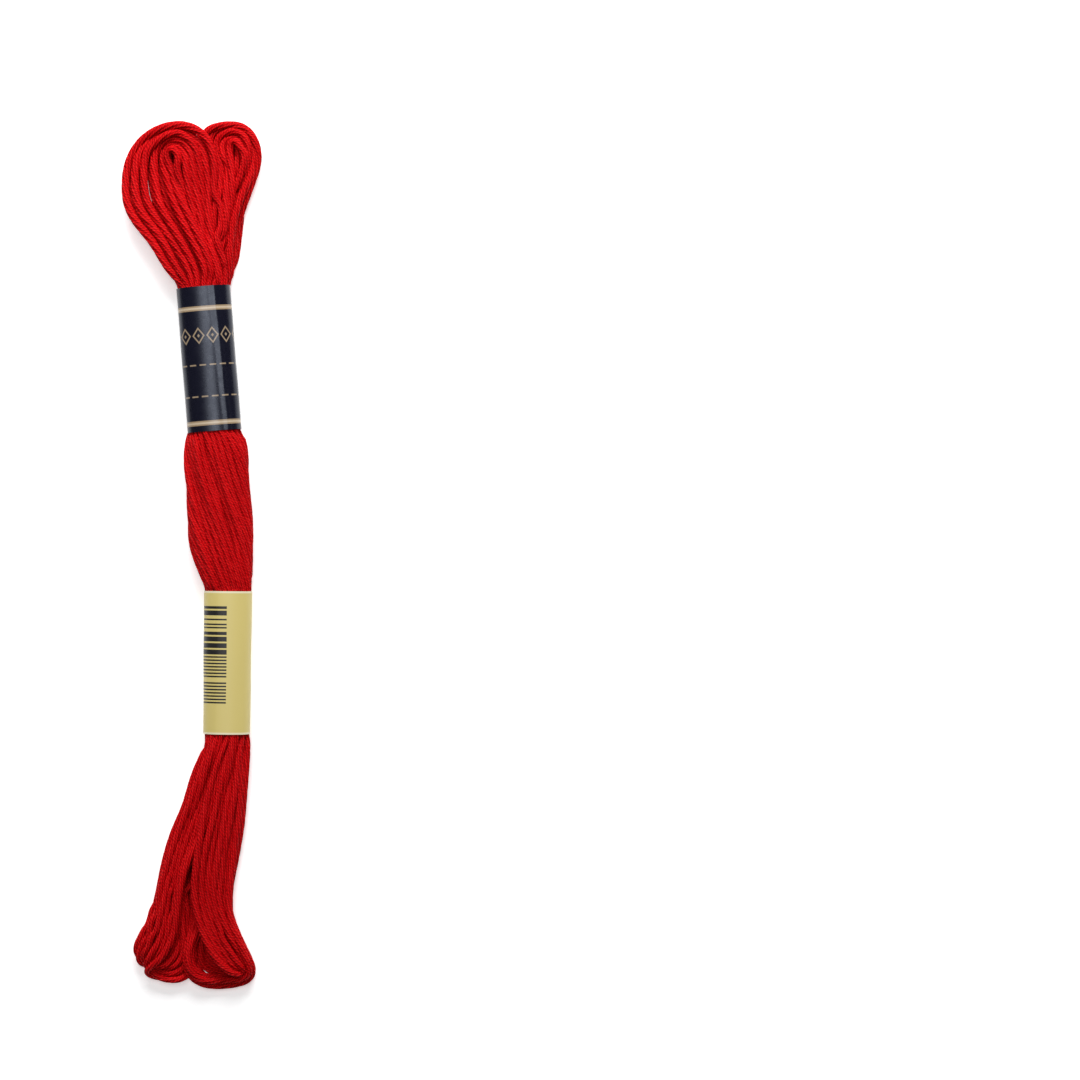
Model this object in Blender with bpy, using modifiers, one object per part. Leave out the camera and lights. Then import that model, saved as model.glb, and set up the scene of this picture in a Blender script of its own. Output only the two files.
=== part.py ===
"""Pull skein of six-strand embroidery floss, lying flat, held by two paper bands.

Eight metres of floss are wound on a long loop, the loop is doubled over and given half a turn,
and two paper bands slip over it.  That leaves four legs through the bands, two loops at the top
end (+Y) and two at the bottom end (-Y).  The hank is one solid of that wound form; its ridges
follow the lay of the outer turns.  Units: metres in Blender, millimetres in the tables.
"""
import math
from collections import namedtuple

import bmesh
import bpy
import numpy as np
from mathutils import Vector

MM = 0.001

# ---- driving dimensions, mm -------------------------------------------------------------------
RIDGE_DEPTH = 0.34          # how deep the grooves between the outer turns are
BUNDLE_WRAP = 30.0          # degrees past its sides that a bundle's ridges reach
BAND_WALL = 0.40            # paper with its glued lap
BAND_HALF_HEIGHT = 3.10     # half the thickness of a banded skein
BAND_SINK = 0.15            # how far a band's oval is pressed flat against the surface
BAND_ROUNDNESS = 0.80       # 1 is a true oval, less is squarer
BAND_CREASE_LIFT = 0.05     # share of the radius that the crease stands out by
BAND_CREASE_SPREAD = 0.30   # radians over which the crease fades
BAND_STEPS = 60             # facets around a band
FLOOR_SIZE = (60.0, 200.0, 10.0)    # block below the skein that cuts its underside flat

# Each band: centre line ends (x, y) and outer half width at each end.
Band = namedtuple("Band", "top_x top_y top_half bottom_x bottom_y bottom_half crease_deg colour")
UPPER_BAND = Band(2.47, 49.2, 4.98, 4.57, 22.6, 4.98, 68.0, (0.012, 0.013, 0.022, 1.0))
LOWER_BAND = Band(7.08, -6.93, 4.45, 6.80, -33.3, 4.32, 112.0, (0.60, 0.48, 0.16, 1.0))
FLOSS_COLOUR = (0.46, 0.006, 0.012, 1.0)

# ---- the trunk: every leg together, from the top loops to the bottom loops ---------------------
# The twist column is the lay of the floss: half a turn between the ends, quickest at the waist.
Trunk = namedtuple("Trunk", "x y lean_deg half_width half_height z twist_deg")
TRUNK = (
    Trunk(1.0, 55.0, 8.0, 3.60, 1.30, 2.70, 18.0),
    Trunk(2.2, 50.6, 5.0, 4.30, 2.20, 2.95, 8.0),
    Trunk(2.5, 48.8, 4.5, 4.15, 2.28, 3.10, 0.0),
    Trunk(3.5, 36.0, 4.5, 4.15, 2.28, 3.10, -30.0),
    Trunk(4.5, 23.0, 4.5, 4.15, 2.28, 3.10, -58.0),
    Trunk(4.6, 22.2, 4.5, 4.60, 2.55, 2.95, -61.0),
    Trunk(4.7, 21.0, 4.5, 5.60, 2.85, 2.85, -64.0),
    Trunk(4.8, 17.3, 4.0, 5.90, 2.95, 2.85, -74.0),
    Trunk(5.3, 9.9, 3.0, 6.00, 3.00, 2.85, -96.0),
    Trunk(6.0, 2.5, 2.0, 5.90, 2.95, 2.85, -118.0),
    Trunk(6.6, -2.2, 1.0, 5.25, 2.85, 2.85, -130.0),
    Trunk(6.95, -5.4, 0.0, 4.75, 2.70, 2.85, -137.0),
    Trunk(7.0, -6.5, 0.0, 4.20, 2.50, 2.95, -139.0),
    Trunk(7.08, -7.3, 0.0, 3.70, 2.28, 3.10, -141.0),
    Trunk(6.95, -20.0, 0.0, 3.63, 2.28, 3.10, -162.0),
    Trunk(6.80, -32.9, 0.0, 3.56, 2.28, 3.10, -178.0),
    Trunk(6.7, -34.2, 0.0, 4.00, 2.40, 2.85, -180.0),
    Trunk(6.4, -40.0, 0.0, 3.60, 1.90, 2.70, -184.0),
)

# ---- the loops ---------------------------------------------------------------------------------
# A row is one section across a bundle of turns: its outer edge, its inner edge (the side of the
# loop's eye), the height of its middle and half its thickness.
Section = namedtuple("Section", "outer_x outer_y inner_x inner_y z half_height")

# The wide loop that lies in front, its left leg spread in a fan over the right one.
TOP_LEFT_LOOP = (
    Section(-1.2, 45.0, 5.8, 45.5, 3.75, 1.50),
    Section(-1.6, 48.7, 6.2, 49.3, 3.85, 1.50),
    Section(-3.7, 51.0, 6.5, 51.7, 4.00, 1.80),
    Section(-6.7, 55.6, 5.8, 55.9, 3.80, 1.85),
    Section(-8.7, 58.4, 4.8, 59.4, 3.40, 1.75),
    Section(-11.6, 61.6, 3.3, 62.6, 2.85, 1.65),
    Section(-12.7, 65.6, 1.6, 65.9, 2.30, 1.55),
    Section(-12.6, 69.8, -0.6, 69.3, 1.90, 1.50),
    Section(-11.6, 73.4, -2.3, 72.2, 1.75, 1.50),
    Section(-9.6, 76.0, -3.4, 73.8, 1.80, 1.55),
    Section(-6.8, 78.0, -3.6, 74.6, 1.90, 1.60),
    Section(-3.7, 79.6, -3.3, 75.0, 2.00, 1.65),
    Section(-0.5, 80.1, -2.8, 74.9, 2.10, 1.70),
    Section(2.2, 78.4, -2.4, 74.3, 2.20, 1.75),
    Section(4.1, 75.4, -2.0, 73.0, 2.35, 1.80),
    Section(5.2, 72.0, -1.7, 70.8, 2.50, 1.85),
    Section(5.8, 68.0, -1.0, 67.6, 2.60, 1.90),
    Section(6.1, 63.0, 0.0, 63.0, 2.70, 1.95),
    Section(6.4, 58.0, 1.0, 58.0, 2.80, 1.95),
    Section(7.2, 52.6, 1.6, 52.6, 2.90, 1.95),
    Section(7.0, 50.6, 1.7, 50.4, 3.00, 1.85),
    Section(6.4, 49.2, 1.8, 48.8, 3.00, 1.60),
    Section(6.1, 45.4, 1.8, 45.0, 3.00, 1.50),
)

# The narrow loop beside it, lower and half hidden.
TOP_RIGHT_LOOP = (
    Section(1.6, 45.0, 5.4, 45.2, 2.40, 1.35),
    Section(2.2, 49.0, 5.8, 49.2, 2.30, 1.40),
    Section(3.6, 56.0, 7.2, 56.0, 1.95, 1.70),
    Section(4.3, 62.0, 8.2, 62.0, 1.95, 1.85),
    Section(4.6, 68.0, 9.6, 67.8, 1.95, 1.90),
    Section(4.3, 73.0, 10.0, 72.2, 1.95, 1.90),
    Section(2.9, 77.2, 9.6, 75.2, 1.95, 1.85),
    Section(3.9, 79.6, 9.1, 76.2, 1.95, 1.85),
    Section(7.2, 80.2, 8.9, 76.6, 1.95, 1.85),
    Section(10.4, 79.9, 9.0, 76.5, 1.95, 1.85),
    Section(12.2, 78.2, 9.2, 75.8, 1.95, 1.85),
    Section(12.7, 75.2, 9.3, 74.2, 1.90, 1.80),
    Section(12.4, 71.6, 8.8, 71.8, 1.85, 1.75),
    Section(11.3, 67.6, 7.8, 68.4, 1.80, 1.70),
    Section(9.6, 64.0, 6.4, 65.0, 1.80, 1.65),
    Section(8.1, 60.4, 5.4, 61.0, 1.80, 1.60),
    Section(7.2, 56.0, 4.6, 56.4, 1.80, 1.60),
    Section(6.3, 49.2, 3.6, 49.2, 2.30, 1.40),
    Section(5.8, 45.2, 2.6, 45.0, 2.40, 1.35),
)

# The bottom loops fold over: their turns run down the front and come back underneath, so each
# is a flat tongue that thins out at the fold.
BOTTOM_LEFT_LOOP = (
    Section(3.9, -30.0, 6.8, -30.0, 3.10, 1.90),
    Section(3.8, -32.8, 7.0, -32.8, 3.10, 1.95),
    Section(2.4, -34.6, 7.2, -34.8, 2.90, 2.50),
    Section(0.6, -40.4, 6.2, -41.4, 2.70, 2.60),
    Section(-1.1, -46.4, 4.2, -47.6, 2.55, 2.50),
    Section(-3.7, -51.4, 2.6, -52.8, 2.45, 2.45),
    Section(-5.3, -56.4, 1.2, -58.0, 2.35, 2.40),
    Section(-6.3, -61.4, -0.2, -62.6, 2.30, 2.35),
    Section(-7.4, -65.6, -0.8, -66.8, 2.25, 2.30),
    Section(-9.1, -69.4, -1.5, -70.8, 2.20, 2.25),
    Section(-10.7, -72.6, -3.1, -74.6, 2.10, 2.15),
    Section(-10.8, -74.5, -4.6, -76.8, 1.90, 1.90),
    Section(-10.2, -75.8, -5.8, -78.0, 1.70, 1.45),
    Section(-9.5, -76.6, -7.1, -78.2, 1.50, 0.80),
)

BOTTOM_RIGHT_LOOP = (
    Section(10.1, -30.0, 6.2, -30.0, 3.10, 1.90),
    Section(9.9, -32.8, 6.0, -32.8, 3.10, 1.95),
    Section(10.8, -34.6, 5.4, -34.8, 2.95, 2.50),
    Section(10.4, -42.0, 4.0, -42.0, 2.85, 2.65),
    Section(10.0, -49.0, 2.4, -48.4, 2.75, 2.60),
    Section(9.3, -54.0, 1.4, -53.6, 2.65, 2.55),
    Section(8.6, -58.6, 0.7, -58.4, 2.60, 2.50),
    Section(8.1, -62.6, 0.4, -62.8, 2.55, 2.50),
    Section(8.2, -66.2, 1.0, -66.8, 2.50, 2.45),
    Section(9.2, -69.6, 2.1, -70.6, 2.45, 2.40),
    Section(10.4, -72.4, 3.7, -74.2, 2.35, 2.30),
    Section(11.5, -75.2, 5.6, -77.2, 2.15, 2.05),
    Section(12.2, -77.2, 7.6, -78.8, 1.90, 1.60),
    Section(12.2, -78.2, 9.2, -79.2, 1.65, 0.95),
)

# A few turns of the bottom right loop stray: they come back along the bottom edge and curl up
# in front, around a narrow gap.
STRAY_TURNS = (
    Section(11.9, -78.8, 10.4, -75.8, 1.45, 1.20),
    Section(9.7, -79.9, 8.7, -77.3, 1.45, 1.30),
    Section(6.6, -80.2, 6.4, -77.6, 1.45, 1.30),
    Section(3.4, -80.2, 3.8, -78.0, 1.50, 1.30),
    Section(1.2, -79.6, 2.3, -77.6, 1.60, 1.35),
    Section(-0.4, -78.0, 1.1, -76.7, 1.70, 1.40),
    Section(-1.1, -75.6, 0.7, -75.2, 1.75, 1.40),
    Section(-0.9, -73.0, 0.8, -73.2, 1.75, 1.40),
    Section(-0.2, -70.6, 1.5, -71.1, 1.75, 1.40),
    Section(0.8, -68.0, 2.8, -68.7, 1.70, 1.40),
    Section(1.8, -64.0, 4.4, -64.6, 1.60, 1.30),
)

# Behind the groove between the two bottom loops lie their returning turns.
BACK_TURNS = (
    Section(0.8, -44.0, 6.0, -44.0, 1.30, 1.15),
    Section(-1.6, -54.0, 5.0, -54.0, 1.30, 1.20),
    Section(-3.2, -62.0, 4.6, -62.0, 1.30, 1.25),
    Section(-4.6, -68.4, 3.2, -68.4, 1.30, 1.25),
    Section(-5.4, -72.4, 0.9, -71.6, 1.25, 1.20),
    Section(-6.2, -76.4, 0.5, -75.6, 1.10, 1.10),
    Section(-6.4, -78.6, 0.6, -78.6, 0.95, 0.90),
    Section(-6.0, -79.1, 0.4, -79.3, 0.85, 0.55),
)

RETURN_TURNS = (
    Section(2.2, -58.0, 7.4, -58.0, 1.30, 1.10),
    Section(2.2, -66.0, 7.6, -66.0, 1.30, 1.20),
    Section(2.2, -72.0, 8.4, -72.0, 1.25, 1.20),
    Section(2.2, -75.6, 9.6, -75.6, 1.20, 1.15),
    Section(2.6, -77.8, 10.6, -77.6, 1.10, 1.00),
    Section(3.6, -79.0, 10.6, -78.8, 1.00, 0.70),
)

# The last turns of the bottom left loop lie low along the bottom edge.
LOW_TURNS = (
    Section(-8.8, -77.0, -7.2, -75.2, 0.95, 0.90),
    Section(-6.6, -78.9, -5.8, -76.6, 0.95, 1.00),
    Section(-3.4, -79.4, -3.4, -77.2, 0.95, 1.00),
    Section(0.0, -79.4, 0.2, -77.2, 0.95, 1.00),
    Section(2.8, -79.5, 3.0, -77.8, 0.95, 0.90),
)


def through_rows(rows, steps):
    """Sections along a smooth curve through a table's rows, `steps` from each row to the next.

    The slope at a row is the harmonic mean of the slopes on its two sides, and nothing where they
    differ in sign, so the curve never swings past a row.
    """
    table = np.array(rows, dtype=float)
    span = np.linalg.norm(np.diff(table[:, :2], axis=0), axis=1)[:, None]
    chord = np.diff(table, axis=0) / span
    slope = np.vstack([chord[:1], np.zeros_like(chord[1:]), chord[-1:]])
    same_way = chord[:-1] * chord[1:] > 0
    total = np.where(same_way, chord[:-1] + chord[1:], 1.0)
    slope[1:-1] = np.where(same_way, 2 * chord[:-1] * chord[1:] / total, 0.0)
    sections = []
    for i, length in enumerate(span):
        for t in np.arange(steps) / steps:
            rise = t * t * (3 - 2 * t)
            sections.append(table[i] * (1 - rise) + table[i + 1] * rise
                            + slope[i] * length * t * (1 - t) ** 2
                            - slope[i + 1] * length * t * t * (1 - t))
    sections.append(table[-1])
    return np.array(sections)


def arc_angles(half_width, half_height, first_deg, last_deg, count):
    """Angles of `count` points spaced evenly by length along part of an oval."""
    angle = np.radians(np.linspace(first_deg, last_deg, 181))
    steps = np.hypot(np.diff(half_width * np.cos(angle)), np.diff(half_height * np.sin(angle)))
    length = np.concatenate([[0], np.cumsum(steps)])
    return np.interp(np.linspace(0, length[-1], count), length, angle)


def oval_ring(half_width, half_height, angles, insets):
    """Points of an oval at given angles, each drawn in by its inset."""
    return np.column_stack([(half_width - insets) * np.cos(angles),
                            (half_height - insets) * np.sin(angles)])


def crests_and_grooves(count):
    """Insets of a row of ridges: a crest, a groove, a crest and so on."""
    return np.where(np.arange(count) % 2 == 0, 0.0, RIDGE_DEPTH)


def trunk_ring(half_width, half_height, ridges, turn_deg):
    """An oval with ridges all round it, moved round the oval by the floss's lay."""
    points = 2 * ridges
    angles = arc_angles(half_width, half_height, turn_deg, turn_deg + 360.0, points + 1)[:-1]
    return oval_ring(half_width, half_height, angles, crests_and_grooves(points))


def bundle_ring(half_width, half_height, ridges):
    """An oval with ridges over its top and sides and a plain underside."""
    points = 2 * ridges + 1
    top = arc_angles(half_width, half_height, -BUNDLE_WRAP, 180.0 + BUNDLE_WRAP, points)
    under = arc_angles(half_width, half_height, 180.0 + BUNDLE_WRAP, 360.0 - BUNDLE_WRAP,
                       2 + ridges // 2)[1:-1]
    insets = np.concatenate([crests_and_grooves(points), np.zeros(len(under))])
    return oval_ring(half_width, half_height, np.concatenate([top, under]), insets)


def loft(name, rings):
    """Closed mesh over a list of rings that all have the same number of points."""
    mesh = bmesh.new()
    loops = [[mesh.verts.new(Vector(point) * MM) for point in ring] for ring in rings]
    count = len(loops[0])
    for lower, upper in zip(loops, loops[1:]):
        for i in range(count):
            j = (i + 1) % count
            mesh.faces.new((lower[i], lower[j], upper[j], upper[i]))
    mesh.faces.new(reversed(loops[0]))
    mesh.faces.new(loops[-1])
    bmesh.ops.recalc_face_normals(mesh, faces=mesh.faces)
    data = bpy.data.meshes.new(name)
    mesh.to_mesh(data)
    mesh.free()
    return bpy.data.objects.new(name, data)


def bundle(name, rows, ridges, steps):
    """A ridged bundle of turns through a table of sections."""
    rings = []
    for outer_x, outer_y, inner_x, inner_y, z, half_height in through_rows(rows, steps):
        centre = np.array([(outer_x + inner_x) / 2, (outer_y + inner_y) / 2, z])
        across = np.array([outer_x - inner_x, outer_y - inner_y, 0.0]) / 2
        half_width = np.linalg.norm(across)
        ring = bundle_ring(half_width, half_height, ridges)
        rings.append([centre + across / half_width * u + np.array([0, 0, v]) for u, v in ring])
    return loft(name, rings)


def trunk(name, rows, ridges, steps):
    """The part of the skein inside and between the bands, with its ridges twisted round it."""
    rings = []
    for x, y, lean_deg, half_width, half_height, z, twist_deg in through_rows(rows, steps):
        lean = math.radians(lean_deg)
        across = np.array([math.cos(lean), math.sin(lean), 0.0])
        ring = trunk_ring(half_width, half_height, ridges, twist_deg)
        rings.append([np.array([x, y, z]) + across * u + np.array([0, 0, v]) for u, v in ring])
    return loft(name, rings)


def bake_modifiers(target):
    """Replace an object's mesh by what its modifiers make of it."""
    bpy.context.view_layer.update()
    evaluated = target.evaluated_get(bpy.context.evaluated_depsgraph_get())
    result = bpy.data.meshes.new_from_object(evaluated)
    target.modifiers.clear()
    target.data = result


def apply_boolean(target, tool, operation):
    """One exact Boolean, applied, with its tool removed afterwards."""
    modifier = target.modifiers.new(operation.title(), "BOOLEAN")
    modifier.object = tool
    modifier.operation = operation
    modifier.solver = "EXACT"
    modifier.use_self = True
    bake_modifiers(target)
    bpy.data.objects.remove(tool)


def fill_hollows(target):
    """Keep the outer skin only, so that pockets closed in between the turns become solid."""
    mesh = bmesh.new()
    mesh.from_mesh(target.data)
    unseen = set(mesh.verts)
    skins = []
    while unseen:
        skin = {unseen.pop()}
        edge_of_search = list(skin)
        while edge_of_search:
            vert = edge_of_search.pop()
            for edge in vert.link_edges:
                other = edge.other_vert(vert)
                if other in unseen:
                    unseen.remove(other)
                    skin.add(other)
                    edge_of_search.append(other)
        skins.append(skin)
    outer = max(skins, key=len)
    inner = [vert for skin in skins if skin is not outer for vert in skin]
    bmesh.ops.delete(mesh, geom=inner, context="VERTS")
    mesh.to_mesh(target.data)
    mesh.free()


def material(name, colour, roughness):
    """A plain Principled material."""
    made = bpy.data.materials.new(name)
    made.use_nodes = True
    shader = made.node_tree.nodes["Principled BSDF"]
    shader.inputs["Base Color"].default_value = colour
    shader.inputs["Roughness"].default_value = roughness
    shader.inputs["Metallic"].default_value = 0.0
    return made


def floss_hank(collection, workshop):
    """The wound floss: trunk and loops fused into one solid with a flat underside."""
    hank = trunk("floss_hank", TRUNK, 24, 2)
    bundles = (
        bundle("top_right", TOP_RIGHT_LOOP, 5, 2),
        bundle("top_left", TOP_LEFT_LOOP, 10, 3),
        bundle("bottom_left", BOTTOM_LEFT_LOOP, 7, 2),
        bundle("bottom_right", BOTTOM_RIGHT_LOOP, 8, 2),
        bundle("stray", STRAY_TURNS, 3, 2),
        bundle("back", BACK_TURNS, 6, 1),
        bundle("return", RETURN_TURNS, 6, 1),
        bundle("low", LOW_TURNS, 2, 2),
    )
    collection.objects.link(hank)
    for part in bundles:
        workshop.objects.link(part)
        apply_boolean(hank, part, "UNION")
    bpy.ops.mesh.primitive_cube_add(size=1.0, location=(0, 0, -FLOOR_SIZE[2] / 2 * MM))
    below = bpy.context.object
    below.scale = [side * MM for side in FLOOR_SIZE]
    apply_boolean(hank, below, "DIFFERENCE")
    fill_hollows(hank)
    hank.data.materials.clear()
    hank.data.materials.append(material("floss", FLOSS_COLOUR, 0.62))
    return hank


def squarish(value):
    """Bend a sine or cosine so that the oval it draws is a little squarer."""
    return math.copysign(abs(value) ** BAND_ROUNDNESS, value)


def paper_band(name, band, collection):
    """A paper sleeve: a flattened oval tube with one soft crease along its front."""
    top = np.array([band.top_x, band.top_y])
    bottom = np.array([band.bottom_x, band.bottom_y])
    along = (top - bottom) / np.linalg.norm(top - bottom)
    across = np.array([along[1], -along[0]])
    crease = math.radians(band.crease_deg)
    mesh = bmesh.new()
    loops = []
    for end, half_width in ((bottom, band.bottom_half), (top, band.top_half)):
        ring = []
        for k in range(BAND_STEPS):
            angle = 2 * math.pi * k / BAND_STEPS
            u = half_width * squarish(math.cos(angle))
            v = BAND_HALF_HEIGHT * squarish(math.sin(angle))
            lift = 1 + BAND_CREASE_LIFT * math.exp(-abs(angle - crease) / BAND_CREASE_SPREAD)
            x, y = end + across * u
            z = max(BAND_HALF_HEIGHT + v * lift - BAND_SINK, 0.0)
            ring.append(mesh.verts.new(Vector((x, y, z)) * MM))
        loops.append(ring)
    for k in range(BAND_STEPS):
        j = (k + 1) % BAND_STEPS
        mesh.faces.new((loops[0][k], loops[0][j], loops[1][j], loops[1][k]))
    bmesh.ops.recalc_face_normals(mesh, faces=mesh.faces)
    data = bpy.data.meshes.new(name)
    mesh.to_mesh(data)
    mesh.free()
    sleeve = bpy.data.objects.new(name, data)
    collection.objects.link(sleeve)
    wall = sleeve.modifiers.new("Wall", "SOLIDIFY")
    wall.thickness = BAND_WALL * MM
    wall.offset = -1.0
    wall.use_even_offset = True
    data.materials.append(material(name + "_paper", band.colour, 0.35))
    return sleeve


def main():
    for old in list(bpy.data.objects):
        bpy.data.objects.remove(old)
    collection = bpy.data.collections.new("floss_skein")
    workshop = bpy.data.collections.new("workshop")
    bpy.context.scene.collection.children.link(collection)
    bpy.context.scene.collection.children.link(workshop)
    floss_hank(collection, workshop)
    paper_band("upper_band", UPPER_BAND, collection)
    paper_band("lower_band", LOWER_BAND, collection)


main()
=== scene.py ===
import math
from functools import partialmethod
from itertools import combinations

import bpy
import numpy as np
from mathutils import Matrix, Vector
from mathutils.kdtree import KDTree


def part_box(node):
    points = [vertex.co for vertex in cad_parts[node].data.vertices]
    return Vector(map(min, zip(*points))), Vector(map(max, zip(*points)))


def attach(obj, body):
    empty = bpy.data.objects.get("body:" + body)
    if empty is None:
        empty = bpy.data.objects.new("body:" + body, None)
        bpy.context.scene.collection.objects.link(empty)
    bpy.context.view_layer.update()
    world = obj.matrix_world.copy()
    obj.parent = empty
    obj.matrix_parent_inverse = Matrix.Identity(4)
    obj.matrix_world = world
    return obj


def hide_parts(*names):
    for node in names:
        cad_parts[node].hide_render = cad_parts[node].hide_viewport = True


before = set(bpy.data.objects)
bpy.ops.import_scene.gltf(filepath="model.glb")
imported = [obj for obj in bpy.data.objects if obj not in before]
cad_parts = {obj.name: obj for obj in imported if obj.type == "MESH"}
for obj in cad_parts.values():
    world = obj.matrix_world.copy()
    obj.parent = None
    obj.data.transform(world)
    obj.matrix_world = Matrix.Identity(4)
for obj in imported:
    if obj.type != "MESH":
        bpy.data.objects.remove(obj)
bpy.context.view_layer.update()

# %% [markdown]
# # A pull skein of embroidery floss
# Eight metres of six-strand cotton floss are wound on a long loop.  The loop is doubled over, given
# half a turn, and two paper bands are slipped over it.  That leaves four bundles of floss between
# the ends, called legs here, and two loops at each end.
#
# This lesson winds one long strand in the same way, lets it settle until its runs lie side by side,
# gives it six twisted ribs, and wraps two strips of paper round it.

MM = 0.001


def rounded(values, unit=1.0):
    """Numbers short enough to print, in a unit."""
    return [round(float(value) / unit, 2) for value in values]


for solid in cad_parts:
    low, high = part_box(solid)
    print(solid, rounded((*low, *high), MM))

# %% [markdown]
# ## The view
# A skein is flat, so it is shown lying on a card, from straight above.  A long lens far away keeps
# both ends at the same scale; a near, wide one would make the middle look fatter than the ends.

# %% Camera
VIEW_CENTRE = (64.7, 2.49)     # mm, the point of the card in the middle of the view
VIEW_WIDTH = 199.54            # mm of card from side to side
CAMERA_HEIGHT = 620.0          # mm above the middle of the skein's thickness
SKEIN_MIDDLE = 3.0             # mm, that middle
SENSOR_WIDTH = 36.0            # mm


def add_object(name, data):
    made = bpy.data.objects.new(name, data)
    bpy.context.scene.collection.objects.link(made)
    return made


camera_data = bpy.data.cameras.new("camera")
camera_data.sensor_width = SENSOR_WIDTH
camera_data.lens = SENSOR_WIDTH * CAMERA_HEIGHT / VIEW_WIDTH
camera_data.clip_start, camera_data.clip_end = 0.01, 20.0
camera = add_object("camera", camera_data)
camera.location = [c * MM for c in (*VIEW_CENTRE, SKEIN_MIDDLE + CAMERA_HEIGHT)]
bpy.context.scene.camera = camera
print("lens", round(camera_data.lens, 1), "mm")

# %% [markdown]
# ## The card
# The card is part of the studio and not of the skein.  Lit only from above it
# would go grey where the lights fall off.  It also glows a little, as on a light table, which keeps
# it white while the lights are set for the floss.

# %% Card
def new_finish(name):
    """A material and the shader in it."""
    made = bpy.data.materials.new(name)
    made.use_nodes = True
    return made, made.node_tree.nodes["Principled BSDF"]


def feed(made, entries):
    """Fill the inputs of a node: what flows is linked, anything else is a plain value."""
    for label, value in entries.items():
        value = getattr(value, "socket", value)
        if isinstance(value, bpy.types.NodeSocket):
            made.id_data.links.new(value, made.inputs[label])
        else:
            made.inputs[label].default_value = value


def wear(made, finish):
    """Give a piece one finish, and nothing else."""
    made.data.materials.clear()
    made.data.materials.append(finish)
    print(made.name, "wears", finish.name)


bpy.ops.object.select_all(action="DESELECT")
bpy.ops.mesh.primitive_plane_add(size=6.0)
card = bpy.context.object
card.name = "card"
card_finish, shader = new_finish("white_card")
feed(shader, {"Base Color": (0.93, 0.93, 0.93, 1.0), "Roughness": 0.9, "Specular IOR Level": 0.1,
              "Emission Color": (1.0, 1.0, 1.0, 1.0), "Emission Strength": 0.45})
wear(card, card_finish)

# %% [markdown]
# ## Two lights and a pale sky
# Floss is dull and coated paper shines, so each has its own light.  A soft box low beyond the top
# end rakes along the skein: every crest is lit, every groove is dark, and the bottom end is
# dimmer.  The black paper mirrors a long, narrow strip light overhead as one soft stripe.  The
# grey sky keeps the shadows open.

# %% Lights
def studio_light(name, centre, aim, size, power):
    lamp = bpy.data.lights.new(name, "AREA")
    lamp.shape = "RECTANGLE"
    lamp.size, lamp.size_y = size
    lamp.energy = power
    made = add_object(name, lamp)
    made.location = centre
    made.rotation_euler = (Vector(centre) - Vector(aim)).to_track_quat("Z", "Y").to_euler()
    print(name, power, "W")


studio_light("soft_box", centre=(0.05, 0.35, 0.28), aim=(0.0, 0.03, 0.0), size=(0.28, 0.22),
             power=2.35)
studio_light("strip_light", centre=(-0.05, 0.20, 0.85), aim=(0.0, 0.02, 0.0), size=(0.20, 0.45),
             power=2.0)
sky = bpy.data.worlds.new("studio")
sky.use_nodes = True
feed(sky.node_tree.nodes["Background"], {"Color": (0.95, 0.97, 1.0, 1.0), "Strength": 0.10})
bpy.context.scene.world = sky
bpy.context.scene.view_settings.view_transform = "Standard"

# %% [markdown]
# ## How thick the floss is
# Twelve turns and two loops at each end make 48 runs of floss side by side.  Floss has no hard
# surface: it is thin where the paper squeezes it and opens where nothing holds it.  So it has a
# radius for each place, and not one for all.

# %% The floss
TURNS = 12                     # times the floss goes round
STRAND_RADIUS = 0.545          # mm, six-strand floss in the trunk
OPEN_RADIUS = 0.66             # mm, relaxed in the top loops
FOLDED_RADIUS = 0.575          # mm, in the bottom loops, which lie folded over
BANDED_RADIUS = 0.47           # mm, squeezed inside a paper band
print("runs of floss side by side:", 4 * TURNS)

# %% [markdown]
# ## Tables for the bundles
# A maker who winds floss thinks in bundles: here it is 3 mm thick, there it spreads to a fan.  So
# every bundle gets a short table of its sections, and a smooth curve is drawn through the rows.
# Drawing all 48 runs by hand would be slow, and they would not move together.
#
# The slope at a row is the harmonic mean of its neighbours' slopes, so the curve never swings past
# a row, as a plain cubic would at a tight bend.

# %% A smooth curve through a table
STEPS = 5                      # rows drawn from one row of a loop's table to the next


def through_rows(rows, steps=STEPS):
    """Rows along a smooth curve through a table."""
    table = np.array(rows, dtype=float)
    span = np.linalg.norm(np.diff(table[:, :2], axis=0), axis=1)[:, None]
    chord = np.diff(table, axis=0) / span
    slope = np.vstack([chord[:1], np.zeros_like(chord[1:]), chord[-1:]])
    same_way = chord[:-1] * chord[1:] > 0
    total = np.where(same_way, chord[:-1] + chord[1:], 1.0)
    slope[1:-1] = np.where(same_way, 2 * chord[:-1] * chord[1:] / total, 0.0)
    made = []
    for i, length in enumerate(span):
        for t in np.arange(steps) / steps:
            rise = t * t * (3 - 2 * t)
            made.append(table[i] * (1 - rise) + table[i + 1] * rise
                        + slope[i] * length * t * (1 - t) ** 2
                        - slope[i + 1] * length * t * t * (1 - t))
    made.append(table[-1])
    return np.array(made)


print("rows between the corners of a square:", len(through_rows(((0, 0), (1, 0), (1, 1)))))

# %% [markdown]
# ### The trunk
# Between the loops the four legs lie together and turn slowly round each other, half a turn from
# one end of the skein to the other.  Each row is one section: its middle, its lean in the plane of
# the card, its half sizes and how far round the legs have moved.

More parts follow.
